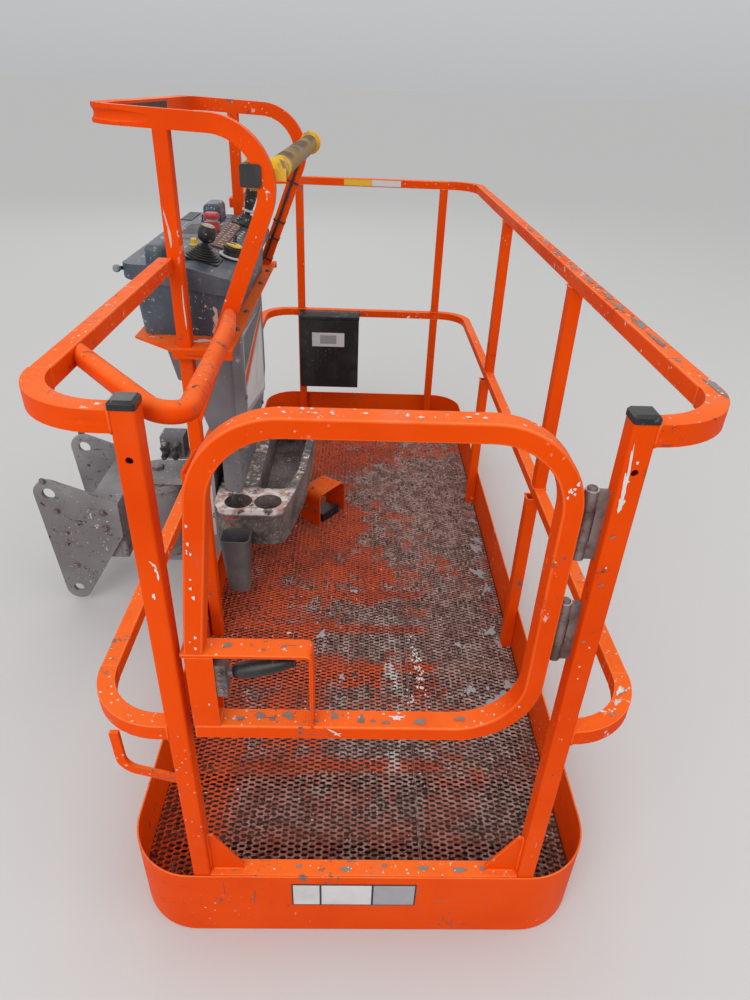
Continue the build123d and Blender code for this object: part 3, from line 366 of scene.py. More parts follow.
def deck_material():
    """Deck paint worn down to grey steel along the walkway, with rust, dirt, a pale splash, painted
    glints on the worn steel and painted shade on the strands' steep faces.
    """
    s = Shader("orange_mesh")
    patch = s.noise(2.2, 5.0, 0.62, shift=1.0)
    fine = s.noise(16.0, 5.0, 0.66, shift=2.0)
    worn = s.plus(s.times(patch, 0.62), s.times(fine, 0.38))
    right = s.ramp(s.axis("X"), CX - 0.30, CX + 0.12, -0.08, 0.035)
    worn = s.ramp(s.math("ADD", worn, right), 0.455, 0.545)
    bands = None
    for y in ((0.995, 1.030), (0.825, 0.860), (0.662, 0.702), (0.335, 0.372)):
        band = s.zone(x=(-0.46, 0.20), y=y, soft=0.012)
        bands = band if bands is None else s.larger(bands, band)
    near = s.zone(x=(-0.30, 0.50), y=(0.0, 0.32), soft=0.03)
    worn = s.larger(worn, s.times(near, 0.72))
    keep = s.minus(1.0, s.times(bands, s.ramp(fine, 0.30, 0.55, 0.35, 0.9)))
    worn = s.times(worn, keep)
    orange = s.patches(7.0, 3.0, 0.6, 5.0, 0.35, 0.7)
    orange = s.mix(orange, (0.66, 0.085, 0.018), (0.40, 0.055, 0.018))
    grey = s.patches(34.0, 4.0, 0.7, 3.0, 0.38, 0.60)
    grey = s.mix(grey, (0.46, 0.315, 0.275), (0.230, 0.120, 0.098))
    base = s.mix(worn, orange, grey)
    grime = s.patches(95.0, 3.0, 0.75, 4.0, 0.50, 0.58)
    base = s.mix(s.times(grime, s.ramp(fine, 0.36, 0.56, 0.35, 0.95)), base, (0.050, 0.022, 0.015))
    # painted shade: strand faces that lean away from up are darkened nearly to black
    base = s.mix(s.facing_up(0.2, 0.6, 0.85, 0.0), base, (0.040, 0.010, 0.006))
    glint = s.times(s.patches(210.0, 2.0, 0.7, 9.0, 0.63, 0.68), s.ramp(fine, 0.44, 0.60))
    base = s.mix(s.times(glint, worn), base, (0.70, 0.64, 0.62))
    white = splatter(s, 0.60, 1.3, 2.0)
    dx = s.math("ABSOLUTE", s.math("SUBTRACT", s.axis("X"), CX + 0.085))
    streak = s.patches(30.0, 4.0, 0.75, 1.2, 0.50, 0.60, stretch=(1.0, 0.5, 1.0))
    streak = s.times(streak, s.ramp(dx, 0.040, 0.005))
    from_front = s.ramp(s.axis("Y"), Y0 + 0.28, Y0 + 0.40)
    far = s.times(from_front, s.ramp(s.axis("Y"), Y0 + 0.95, Y0 + 0.70))
    white = s.larger(white, s.times(streak, far))
    base = s.mix(white, base, (0.60, 0.57, 0.55))
    rough = s.blend(worn, 0.50, 0.62)
    rough = s.blend(white, rough, 0.8)
    s.bump(s.noise(320.0, 1.0, 0.7), 0.4, 0.0010)
    return s.finish(base, rough, s.times(worn, 0.15), 0.35)


mat_orange = painted("orange_paint", ORANGE, ORANGE_DEEP, CHIP, 0.45, 0.50, top_sheen=ORANGE_TOP_SHEEN)
mat_rail = painted("orange_rail", ORANGE, ORANGE_DEEP, CHIP, 0.55, 0.55, worn_zone=rail_wear,
                   splash_zone=rail_splash, top_sheen=ORANGE_TOP_SHEEN)
# bevel strips and weld beads: lighter orange, part edge wear and part painted highlight
mat_edge = painted("orange_edge", (0.83, 0.118, 0.018), (0.72, 0.074, 0.004), CHIP, 0.9, 0.6,
                   top_sheen=(0.86, 0.185, 0.050))
# cross members and floor frame under the deck: near-black orange, part dirt and part painted shade
mat_dirty_and_shaded = painted("orange_dirty_and_shaded", (0.120, 0.030, 0.012), (0.060, 0.028, 0.020),
                    (0.10, 0.07, 0.06), 1.0, 0.20, 0.7)
mat_grey = painted("grey_paint", (0.205, 0.200, 0.215), (0.105, 0.098, 0.106), RUSTY_CHIP,
                   0.9, 0.60, 0.45, 0.5)
mat_support = painted("grey_support", (0.275, 0.265, 0.270), (0.165, 0.155, 0.158), RUSTY_CHIP,
                      0.9, 0.60, 0.45, 0.5)
mat_bare = worn_steel("bare_steel", (0.215, 0.180, 0.178), (0.100, 0.070, 0.066), 0.38, 0.45)
mat_bright = worn_steel("bright_steel", (0.58, 0.56, 0.55), (0.36, 0.32, 0.31), 0.30, 0.55)
mat_console = plastic("console_plastic", (0.046, 0.062, 0.084), (0.125, 0.148, 0.178), 0.70, 0.45,
                      0.6, console_splash, 0.25, 0.7)
mat_console_edge = plastic("console_edge", (0.090, 0.112, 0.140), (0.48, 0.50, 0.51), 1.2, 0.45,
                           1.0, dusty=0.2, scratched=0.9)
mat_black = plastic("black_plastic", (0.013, 0.012, 0.013), (0.05, 0.048, 0.047), 0.35, 0.50, 0.35)
mat_cap = plastic("cap_plastic", (0.010, 0.009, 0.010), (0.03, 0.028, 0.027), 0.30, 0.25, 0.2,
                  dusty=0.10, scratched=0.3)
mat_grip = plastic("worn_grip", (0.010, 0.009, 0.009), (0.045, 0.040, 0.038), 0.7, 0.38, 0.5,
                   dusty=0.12, scratched=0.85)
mat_tray = tray_material()
mat_pocket = plastic("pocket_plastic", (0.092, 0.085, 0.089), (0.200, 0.185, 0.185), 0.6, 0.55, 0.7)
mat_foam = foam_material()
mat_red = plastic("red_plastic", (0.42, 0.012, 0.022), (0.36, 0.10, 0.10), 0.3, 0.35, 0.2)
mat_strip = plastic("strip_red", (0.085, 0.014, 0.018), (0.16, 0.07, 0.07), 0.4, 0.45)
mat_yellow = plastic("yellow_plastic", (0.70, 0.42, 0.015), (0.55, 0.42, 0.15), 0.3, 0.40, 0.25)
mat_tip = plastic("grey_blue_tip", (0.17, 0.21, 0.25), (0.20, 0.21, 0.23), 0.3, 0.45, 0.6)
mat_white = plastic("white_plastic", (0.60, 0.60, 0.59), (0.38, 0.37, 0.36), 0.1, 0.45)
mat_label = plastic("grey_label", (0.30, 0.30, 0.32), (0.42, 0.42, 0.43), 0.3, 0.40, 0.7)
mat_tan = plastic("tan_print", (0.42, 0.36, 0.28), (0.30, 0.26, 0.21), 0.1, 0.50)
mat_splash = plastic("dried_paint", (0.64, 0.60, 0.58), (0.50, 0.43, 0.40), 0.0, 0.65, 0.7)
mat_run = plastic("pale_run", (0.58, 0.42, 0.36), (0.44, 0.30, 0.25), 0.0, 0.70, 0.6)
mat_rub = plastic("rubbed_grey", (0.21, 0.185, 0.180), (0.13, 0.085, 0.075), 0.0, 0.60, 0.7)
mat_mark_red = plastic("red_mark", (0.62, 0.020, 0.050), (0.40, 0.02, 0.04), 0.0, 0.55, 0.4)
mat_mesh = deck_material()


# dress of the CAD nodes
def paint(material, *names):
    """Give CAD nodes whose names start so this material."""
    for name, obj in nodes.items():
        if name.startswith(names):
            obj.data.materials.clear()
            obj.data.materials.append(material)


paint(mat_orange, "")
paint(mat_rail, "top_rail", "mid_rail", "toe_board", "gate_frame", "latch_guard", "latch_box",
      "entry_sill", "console_guard", "grab_tube")
paint(mat_dirty_and_shaded, "cross_members", "floor_frame")
paint(mat_grey, "console_column", "column_cover", "connector")
paint(mat_support, "support_", "rotator")
paint(mat_bare, "hinge_", "latch_bolt")
paint(mat_console, "console_body", "console_lid")
paint(mat_cap, "post_caps")
paint(mat_black, "document_", "latch_handle", "sensor_switch", "sensor_cable", "foot_pedal",
      "selector_dial")
paint(mat_tray, "tool_tray")
paint(mat_pocket, "tool_pocket")
paint(mat_grip, "joystick")
paint(mat_foam, "sensor_bar")
paint(mat_red, "stop_button")
paint(mat_strip, "switch_strip")


def soften(width, segments, edge_material, *names, join_facets=False):
    """Round the sharp edges of CAD nodes, with their own material on the rounded strips."""
    for name, obj in nodes.items():
        if not name.startswith(names):
            continue
        for poly in obj.data.polygons:
            poly.use_smooth = True
        obj.modifiers.new("weld", "WELD").merge_threshold = 0.00002
        if join_facets:
            facets = obj.modifiers.new("join_facets", "DECIMATE")
            facets.decimate_type = "DISSOLVE"
            facets.angle_limit = math.radians(0.3)
        bevel = obj.modifiers.new("soft_edges", "BEVEL")
        bevel.width = width
        bevel.segments = segments
        bevel.limit_method = "ANGLE"
        bevel.angle_limit = math.radians(32)
        bevel.use_clamp_overlap = True
        if edge_material:
            obj.data.materials.append(edge_material)
            bevel.material = 1
        even = obj.modifiers.new("even_shading", "WEIGHTED_NORMAL")
        even.mode = "FACE_AREA"
        even.weight = 90


soften(0.0030, 2, mat_edge, "top_rail", "mid_rail", "gate_frame", "console_guard",
       join_facets=True)
soften(0.0012, 1, mat_edge, "toe_board", "latch_guard", "latch_box", "entry_sill", "sill_gussets",
       "foot_switch_guard")
soften(0.0080, 3, mat_console_edge, "console_lid")
soften(0.0060, 3, mat_console_edge, "console_body")
soften(0.0060, 3, None, "column_cover", "support_web", "document_")
soften(0.0015, 2, None, "support_plates", join_facets=True)
soften(0.0020, 2, None, "tool_tray", "tool_pocket", "rotator", "console_column", "post_caps")


# mesh tools: a part is its points and its faces
def joined(name, parts, material, body="platform", smooth=False):
    """New piece from several parts."""
    verts, faces = [], []
    for part_verts, part_faces in parts:
        start = len(verts)
        verts += part_verts
        faces += [tuple(i + start for i in face) for face in part_faces]
    mesh = bpy.data.meshes.new(name)
    mesh.from_pydata([tuple(v) for v in verts], [], faces)
    mesh.validate()
    mesh.update()
    obj = bpy.data.objects.new(name, mesh)
    bpy.context.scene.collection.objects.link(obj)
    mesh.materials.append(material)
    for poly in mesh.polygons:
        poly.use_smooth = smooth
    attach(obj, body)
    return obj


def basis(normal):
    """Two unit vectors square to a normal."""
    normal = normal.normalized()
    side = UP.cross(normal)
    if side.length < 1e-4:
        side = RIGHT.cross(normal)
    side.normalize()
    return side, normal.cross(side)


def tube_faces(rows, segments):
    """Faces between rings of points, closed at both ends."""
    faces = []
    for low in range(0, (rows - 1) * segments, segments):
        for i in range(segments):
            j = (i + 1) % segments
            faces.append((low + i, low + j, low + segments + j, low + segments + i))
    faces.append(tuple(reversed(range(segments))))
    faces.append(tuple(range((rows - 1) * segments, rows * segments)))
    return faces


def ring_of(centre, a, b, radius, segments):
    """Points round a centre."""
    turns = [2 * math.pi * i / segments for i in range(segments)]
    return [centre + (a * math.cos(t) + b * math.sin(t)) * radius for t in turns]


def lathe(centre, axis, profile, segments=24):
    """Turned part from (radius, height) pairs along an axis."""
    a, b = basis(axis)
    axis = axis.normalized()
    verts = []
    for radius, height in profile:
        verts += ring_of(centre + axis * height, a, b, radius, segments)
    return verts, tube_faces(len(profile), segments)


def pipe(points, radius, segments):
    """Round tube through points."""
    verts = []
    previous = None
    for k, p in enumerate(points):
        d = (points[min(k + 1, len(points) - 1)] - points[max(k - 1, 0)]).normalized()
        if previous is None:
            a, b = basis(d)
        else:
            a = (previous - d * previous.dot(d)).normalized()
            b = d.cross(a)
        previous = a
        verts += ring_of(p, a, b, radius, segments)
    return verts, tube_faces(len(points), segments)


def slab(low, high):
    """Box between two points."""
    (x0, y0, z0), (x1, y1, z1) = low, high
    flat = ((x0, y0), (x1, y0), (x1, y1), (x0, y1))
    verts = [Vector((x, y, z)) for z in (z0, z1) for x, y in flat]
    return verts, [(0, 3, 2, 1), (4, 5, 6, 7), (0, 1, 5, 4), (1, 2, 6, 5), (2, 3, 7, 6), (3, 0, 4, 7)]


def plate(corners, normal, thickness):
    """Thin plate from its outline, raised along a normal."""
    n = len(corners)
    normal = normal.normalized()
    verts = [Vector(c) for c in corners] + [Vector(c) + normal * thickness for c in corners]
    faces = [tuple(reversed(range(n))), tuple(range(n, 2 * n))]
    return verts, faces + [(i, (i + 1) % n, n + (i + 1) % n, n + i) for i in range(n)]


def turned(name, centre, axis, profile, segments, material, body="platform", smooth=False):
    """Piece of one turned part."""
    joined(name, [lathe(centre, axis, profile, segments)], material, body, smooth)


def bolt(centre, axis, size, height):
    """Six-sided head on a washer."""
    washer = ((size * 1.35, 0.0), (size * 1.35, 0.0016), (size * 1.2, 0.0020))
    head = ((size, 0.0), (size, height * 0.8), (size * 0.82, height))
    return [lathe(centre, axis, washer, 20),
            lathe(centre + axis.normalized() * 0.0018, axis, head, 6)]


def bolted(name, size, height, places, body="platform"):
    """Piece of like bolts from pairs of place and axis."""
    parts = [part for place, axis in places for part in bolt(place, axis, size, height)]
    joined(name, parts, mat_bare, body)


# expanded metal deck
MESH_LONG, MESH_SHORT = 0.0305, 0.0127  # pitch of the diamonds
HALF_BOND = MESH_LONG * 0.14
STRAND_WIDE, STRAND_THICK = 0.0040, 0.0016
LEAN = math.radians(52)
CORNER = 0.1257  # radius of the deck's corners
CLEAR = 0.001  # between strands and posts
MESH_START = CX - 0.4565


def post_boxes():
    """Plan boxes of the posts that stand through the deck."""
    boxes = [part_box("gate_post_left"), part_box("gate_post_right")]
    for group, axis in (("side_posts_low", 1), ("end_posts_low", 0), ("console_legs_low", 1)):
        points = [v.co for v in nodes[group].data.vertices]
        mid = sum(p[axis] for p in points) / len(points)
        for sign in (-1, 1):
            one = [p for p in points if (p[axis] - mid) * sign > 0]
            boxes.append([[pick(p[i] for p in one) for i in (0, 1)] for pick in (min, max)])
    return boxes


def strand(x0, y0, x1, y1, wide, middle):
    """One leaning flat strip between two bonds."""
    dx, dy = x1 - x0, y1 - y0
    length = math.hypot(dx, dy)
    nx, ny = -dy / length, dx / length
    if ny < 0:
        nx, ny = -nx, -ny
    verts = []
    for x, y in ((x0, y0), (x1, y1)):
        for across, thick in ((-0.5, -0.5), (0.5, -0.5), (0.5, 0.5), (-0.5, 0.5)):
            flat = across * wide * math.cos(LEAN) - thick * STRAND_THICK * math.sin(LEAN)
            rise = across * wide * math.sin(LEAN) + thick * STRAND_THICK * math.cos(LEAN)
            verts.append((x + nx * flat, y + ny * flat, middle + rise))
    return verts, [(i, (i + 1) % 4, 4 + (i + 1) % 4, 4 + i) for i in range(4)]


def deck_mesh(node, name, holes):
    """Expanded metal in place of a deck sheet: diamonds with bonds, inside the sheet's outline."""
    low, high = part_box(node)
    outer_left = abs(low[0] - board_low[0]) < 0.02
    outer_right = abs(high[0] - board_high[0]) < 0.02

    def inside(x, y):
        """Whether a place lies within the rounded outline and clear of the posts."""
        if not (low[0] <= x <= high[0] and low[1] <= y <= high[1]):
            return False
        past_x = 0.0
        if outer_left:
            past_x = max(past_x, (low[0] + CORNER) - x)
        if outer_right:
            past_x = max(past_x, x - (high[0] - CORNER))
        past_y = max((low[1] + CORNER) - y, y - (high[1] - CORNER))
        if past_x > 0 and past_y > 0 and math.hypot(past_x, past_y) > CORNER:
            return False
        return not any(a[0] - CLEAR < x < b[0] + CLEAR and a[1] - CLEAR < y < b[1] + CLEAR
                       for a, b in holes)

    parts = []
    middle = high[2] - 0.0023
    first = int((low[0] - MESH_START) / MESH_LONG) - 1
    last = first + int((high[0] - low[0]) / MESH_LONG) + 4
    for row in range(int((high[1] - low[1]) / (MESH_SHORT / 2)) + 2):
        y = low[1] + row * MESH_SHORT / 2
        offset = (row % 2) * MESH_LONG / 2
        for column in range(first, last):
            x = MESH_START + column * MESH_LONG + offset
            if inside(x, y):
                parts.append(strand(x - HALF_BOND, y, x + HALF_BOND, y, STRAND_WIDE * 1.25, middle))
            for side in (-1, 1):
                ends = (x + side * HALF_BOND, y, x + side * (MESH_LONG / 2 - HALF_BOND),
                        y + MESH_SHORT / 2)
                if inside(*ends[:2]) and inside(*ends[2:]):
                    parts.append(strand(*ends, STRAND_WIDE, middle))
    seam = low[0] if outer_right else high[0]
    parts.append(slab((seam - 0.0018, low[1] + 0.002, high[2] - 0.004),
                      (seam + 0.0018, high[1] - 0.002, high[2] - 0.0003)))
    obj = joined(name, parts, mat_mesh)
    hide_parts(node)


posts = post_boxes()
deck_mesh("deck_panel_left", "deck_mesh_left", posts)
deck_mesh("deck_panel_right", "deck_mesh_right", posts)

# signs and labels, all blank
FAR_RAIL = 2.350 - LIFT
box_front = box_of("document_box")[0].y - Y0
for name, x0, x1, z0, z1, y, thickness, material in (
    ("front_sign_border", -0.134, 0.108, 0.094, 0.166, -0.0002, 0.0006, mat_black),
    ("front_sign_left", -0.131, -0.080, 0.097, 0.163, -0.0008, 0.0004, mat_white),
    ("front_sign_middle", -0.076, 0.021, 0.097, 0.163, -0.0008, 0.0004, mat_white),
    ("front_sign_right", 0.025, 0.105, 0.097, 0.163, -0.0008, 0.0004, mat_label),
    ("rail_label_yellow", -0.104, 0.008, 1.1205, 1.1435, FAR_RAIL, 0.0008, mat_yellow),
    ("rail_label_grey", 0.010, 0.132, 1.1205, 1.1435, FAR_RAIL, 0.0008, mat_white),
    ("document_label", -0.241, -0.094, 0.447, 0.511, box_front - 0.0002, 0.0008, mat_white),
    ("document_label_print", -0.205, -0.130, 0.460, 0.500, box_front - 0.0010, 0.0003, mat_label),
):
    corners = [at(x, y, z) for x, z in ((x0, z0), (x1, z0), (x1, z1), (x0, z1))]
    joined(name, [plate(corners, FRONT, thickness)], material)

cover_side = box_of("column_cover")[1].x + LIFT
for name, corners, material, lift in (
    ("cover_label", ((1.060, 0.90), (1.060, 0.66), (1.430, 0.59), (1.430, 0.87)), mat_label, 0.0),
    ("cover_label_stripe", ((1.070, 0.775), (1.070, 0.745), (1.420, 0.845), (1.420, 0.862)),
     mat_orange, 0.0005),
    ("cover_label_lower", ((1.075, 0.735), (1.075, 0.675), (1.410, 0.605), (1.410, 0.830)),
     mat_white, 0.0004),
    ("cover_label_upper", ((1.075, 0.885), (1.075, 0.79), (1.410, 0.868), (1.410, 0.874)),
     mat_pocket, 0.0004),
):
    points = [Vector((cover_side + lift, Y0 + y, Z0 + z)) for y, z in corners]
    joined(name, [plate(points, RIGHT, 0.0006)], material)
column_front = box_of("console_column")[0].y - LIFT
hexagon = [(0.017 * math.cos(math.pi / 3 * i), 0.017 * math.sin(math.pi / 3 * i)) for i in range(6)]
hexagon = [Vector((CX - 0.398 + x, column_front, Z0 + 0.555 + z)) for x, z in hexagon]
joined("column_label", [plate(hexagon, FRONT, 0.0005)], mat_tan)

# dark blank strip along the inner face of the guard's outer bar
guard_low, guard_high = box_of("console_guard")
bar_inner = guard_low.x + 0.0322
z0, z1 = guard_high.z - 0.0275, guard_high.z - 0.0055
joined("guard_strip_border",
       [slab((bar_inner, Y0 + 0.875, z0), (bar_inner + 0.0006, Y0 + 1.345, z1))], mat_white)
joined("guard_strip", [slab((bar_inner + 0.0004, Y0 + 0.878, z0 + 0.0015),
                            (bar_inner + 0.0010, Y0 + 1.342, z1 - 0.0015))], mat_black)

# console details: places across and along, from the toe board's front centre
LID_OUTER = (-0.574, SHELF + 0.167)
LID_RIDGE = (-0.423, SHELF + 0.162)
LID_INNER = (-0.335, SHELF + 0.138)


def crown(x):
    """Height of the lid's upper surface at a place across it."""
    (x0, z0), (x1, z1) = (LID_OUTER, LID_RIDGE) if x < LID_RIDGE[0] else (LID_RIDGE, LID_INNER)
    return z0 + (z1 - z0) * (x - x0) / (x1 - x0)


def tilt(x):
    """Unit normal of the lid there."""
    slope = (crown(x + 0.002) - crown(x - 0.002)) / 0.004
    return Vector((-slope, 0, 1)).normalized()


def on_lid(x, y, lift=LIFT):
    return at(x, y, crown(x)) + tilt(x) * lift


def rounded(x0, x1, y0, y1, corner):
    """Outline of a rectangle with rounded corners."""
    outline = []
    for cx, cy, start in ((x1 - corner, y1 - corner, 0), (x0 + corner, y1 - corner, 90),
                          (x0 + corner, y0 + corner, 180), (x1 - corner, y0 + corner, 270)):
        for step in range(5):
            t = math.radians(start + step * 22.5)
            outline.append((cx + corner * math.cos(t), cy + corner * math.sin(t)))
    return outline


def in_plane(normal, dx, dy):
    """Step on a plane that leans across the lid."""
    return Vector((dx * normal.z, dy, -dx * normal.x))


for name, x0, x1, y0, y1, height, material, corner in (
    ("console_screen_rim", -0.538, -0.464, 1.195, 1.432, 0.0035, mat_label, 0.034),
    ("console_screen", -0.535, -0.467, 1.199, 1.428, 0.0042, mat_console, 0.031),
    ("console_screen_glass", -0.522, -0.480, 1.235, 1.385, 0.0047, mat_black, 0.014),
    ("console_recess_rim", -0.571, -0.538, 1.455, 1.590, 0.0022, mat_console, 0.006),
    ("console_recess", -0.567, -0.542, 1.462, 1.583, 0.0026, mat_black, 0.004),
    ("console_key_field", -0.476, -0.446, 1.130, 1.185, 0.0012, mat_console, 0.006),
):
    outline = [on_lid(x, y) for x, y in rounded(x0, x1, y0, y1, corner)]
    joined(name, [plate(outline, tilt((x0 + x1) / 2), height)], material)

strip_keys = [(x, 1.155 + row * 0.027) for row in range(11)
              for x in (-0.4175, -0.4035, -0.3955)[:2 if row % 2 else 3]]
square_keys = [(x, y) for y in (1.415, 1.440) for x in (-0.470, -0.456, -0.442)]
square_keys += [(-0.374, y) for y in (1.300, 1.330, 1.360, 1.390)]
large_keys = [(x, y) for y in (1.535, 1.562) for x in (-0.474, -0.458, -0.442)]
small_keys = [(-0.470, 0.985), (-0.462, 1.000), (-0.470, 1.015), (-0.462, 1.030)]
keys = []
for places, lift, profile, segments in (
    (strip_keys, 0.0046, ((0.0042, 0.0), (0.0042, 0.0012), (0.0032, 0.0018)), 10),
    (square_keys, LIFT, ((0.0055, 0.0), (0.0055, 0.0016), (0.0042, 0.0024)), 12),
    (large_keys, LIFT, ((0.0060, 0.0), (0.0060, 0.0016), (0.0044, 0.0024)), 12),
    (small_keys, LIFT, ((0.0035, 0.0), (0.0035, 0.0010), (0.0028, 0.0014)), 10),
):
    keys += [lathe(on_lid(x, y, lift), tilt(x), profile, segments) for x, y in places]
joined("console_keys", keys, mat_tan)

toggles = []
for x, y, lean in ((-0.374, 1.200, 0.3), (-0.374, 1.235, -0.2), (-0.448, 1.215, 0.25),
                   (-0.448, 1.245, -0.25), (-0.500, 1.430, 0.2)):
    collar = ((0.0075, 0.0), (0.0075, 0.003), (0.0050, 0.005), (0.0045, 0.007))
    toggles.append(lathe(on_lid(x, y), tilt(x), collar, 12))
    lever = ((0.0020, 0.0), (0.0028, 0.014), (0.0020, 0.0165))
    direction = (tilt(x) + BACK * lean).normalized()
    toggles.append(lathe(on_lid(x, y) + tilt(x) * 0.006, direction, lever, 10))
joined("console_toggles", toggles, mat_black)

turned("console_knob", on_lid(-0.459, 1.118), tilt(-0.459),
       ((0.0125, 0.0), (0.0125, 0.003), (0.0085, 0.005), (0.0085, 0.015), (0.0070, 0.017)),
       18, mat_yellow)
DIAL = (-0.356, 1.072)
dial_axis = tilt(DIAL[0])
dial_centre = on_lid(*DIAL, 0.0310)
turned("dial_cap", dial_centre, dial_axis,
       ((0.0195, 0.0), (0.0200, 0.0012), (0.0185, 0.0038), (0.0150, 0.0046)), 28, mat_yellow)
pointer = ((-0.018, -0.0026), (0.004, -0.0026), (0.004, 0.0026), (-0.018, 0.0026))
pointer = [dial_centre + dial_axis * 0.0046 + in_plane(dial_axis, dx, dy) for dx, dy in pointer]
joined("dial_pointer", [plate(pointer, dial_axis, 0.0012)], mat_black)
turned("dial_ring", on_lid(*DIAL, 0.0052), dial_axis,
       ((0.0330, 0.0), (0.0330, 0.0025), (0.0300, 0.0035)), 28, mat_white)
turned("stop_collar", on_lid(-0.449, 1.312, 0.0265), tilt(-0.449),
       ((0.0150, 0.0), (0.0158, 0.0015), (0.0158, 0.0060), (0.0150, 0.0075)), 24, mat_label)
turned("far_stick_ring", on_lid(-0.385, 1.500, 0.0405), tilt(-0.385),
       ((0.0165, 0.0), (0.0185, 0.0010), (0.0185, 0.0052), (0.0165, 0.0062)), 24, mat_white)

# lower joystick with a ribbed boot, in place of the CAD one
STICK = (-0.412, 0.993)
stick_axis = tilt(STICK[0])
stick_root = on_lid(*STICK)
flange = [stick_root + in_plane(stick_axis, dx, dy)
          for dx, dy in rounded(-0.043, 0.043, -0.043, 0.043, 0.012)]
boot = [(0.0400, 0.0030)]
for rib in range(6):
    radius, height = 0.0400 - 0.0044 * rib, 0.0040 + 0.0046 * rib
    boot += [(radius, height), (radius + 0.0008, height + 0.0016),
             (radius - 0.0010, height + 0.0030), (radius - 0.0044, height + 0.0040)]
boot += [(0.0120, 0.0330), (0.0075, 0.0340), (0.0075, 0.0400)]
grip = [(0.0075, 0.0380), (0.0130, 0.0400), (0.0190, 0.0450), (0.0215, 0.0520), (0.0220, 0.0600),
        (0.0205, 0.0690), (0.0165, 0.0760), (0.0100, 0.0795), (0.0020, 0.0803)]
stick = [plate(flange, stick_axis, 0.0036), lathe(stick_root, stick_axis, boot, 32),
         lathe(stick_root, stick_axis, grip, 28)]
near_stick = joined("joystick_near_made", stick, mat_grip)
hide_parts("joystick_near")
turned("near_stick_pale_print", stick_root + stick_axis * 0.0770, stick_axis,
       ((0.0158, -0.0004), (0.0150, 0.0010), (0.0098, 0.0030), (0.0020, 0.0038)), 24, mat_tan)

# small lever with a pale tip outside the lid's near left corner
lever_root = at(-0.5775, 0.905, SHELF + 0.151)
lever_tip = lever_root + Vector((-0.007, -0.017, 0.002))
lever_bend = lever_root + Vector((-0.004, -0.008, 0.001))
joined("console_lever", [pipe([lever_root, lever_bend, lever_tip], 0.0045, 10)], mat_black)
turned("console_lever_tip", lever_tip, Vector((-0.3, -1, 0.2)),
       ((0.0075, 0.0), (0.0085, 0.003), (0.0085, 0.010), (0.0060, 0.013)), 14, mat_tip)

# screws and bolts
bolted("lid_screws", 0.0040, 0.0022,
       [(at(-0.3216, y, SHELF + 0.105), RIGHT) for y in (0.915, 1.240, 1.565)])
bolts = []
for x, z, size, height in (
    (-0.946, 0.455, 0.0080, 0.0070), (-0.925, 0.352, 0.0080, 0.0070),
    (-0.790, 0.350, 0.0095, 0.0080), (-0.790, 0.295, 0.0095, 0.0080),
    (-0.905, 0.150, 0.0095, 0.0080),
):
    for y, face in ((1.010, -1), (1.330, 1)):
        bolts += bolt(at(x, y + face * LIFT, z), Vector((0, face, 0)), size, height)
joined("support_bolts", bolts, mat_bare, "support")

AXIS_X, AXIS_Y = -0.655, 1.170  # rotator
turns = [2 * math.pi * i / 10 for i in range(10)]
ring = [at(AXIS_X + 0.064 * math.cos(t), AXIS_Y + 0.064 * math.sin(t), 0.3902) for t in turns]
bolted("rotator_bolts", 0.0050, 0.0030, [(place, UP) for place in ring], "support")
bolted("mount_bolts", 0.0085, 0.0070, [(at(-0.4675, y, z), LEFT) for y in (1.085, 1.255)
                                       for z in (0.060, 0.300, 0.455, 0.545)])
turned("rotator_pin_nut", at(AXIS_X, AXIS_Y, 0.4172), UP,
       ((0.019, 0.0), (0.019, 0.010), (0.017, 0.012)), 6, mat_bare)

barrel_low, barrel_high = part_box("hinge_barrel_lower")
pin_x, pin_y = box_of("hinge_leaf_lower")[0].x + 0.0095, (barrel_low[1] + barrel_high[1]) / 2
pins = [Vector((pin_x, pin_y, Z0 + (z + 0.1121))) for z in (0.747, 0.935)]
joined("hinge_pin_tops", [lathe(p, UP, ((0.0068, 0.0), (0.0060, 0.0008)), 18) for p in pins],
       mat_bare)
joined("hinge_rings", [lathe(p - UP * 0.0040, UP, ((0.0094, 0.0), (0.0094, 0.0012)), 22)
                       for p in pins], mat_bright)

bolted("latch_bolts", 0.0050, 0.0035, [(at(-0.2260, 0.0112, z), FRONT) for z in (0.683, 0.718)],
       "gate")
grip_axis = Vector((math.cos(math.radians(14)), 0.0, math.sin(math.radians(14))))
turned("latch_grip_sleeve", at(-0.2080, 0.027, 0.7045), grip_axis,
       ((0.0098, 0.0), (0.0125, 0.010), (0.0145, 0.030), (0.0138, 0.055), (0.0112, 0.078),
        (0.0080, 0.0925), (0.0050, 0.0955)), 20, mat_grip, "gate", True)
bolted("shelf_bolts", 0.0060, 0.0045,
       [(at(-0.331, y, SHELF + LIFT), UP) for y in (0.94, 1.10, 1.40, 1.56)])
bolted("cover_screws", 0.0055, 0.0035,
       [(Vector((cover_side, Y0 + y, Z0 + z)), RIGHT) for y, z in
        ((1.052, 0.925), (1.452, 0.925), (1.052, 0.580), (1.345, 0.578), (1.052, 0.72))])

hood_turn = math.radians(53)
hood_x = Vector((math.cos(hood_turn), math.sin(hood_turn), 0))
hood_y = Vector((-math.sin(hood_turn), math.cos(hood_turn), 0))
bolted("foot_guard_bolts", 0.0055, 0.0040,
       [(at(-0.150, 1.490, 0.055) + hood_x * side * 0.0762 + hood_y * depth + UP * 0.060,
         hood_x * side) for side in (-1, 1) for depth in (-0.022, 0.022)])

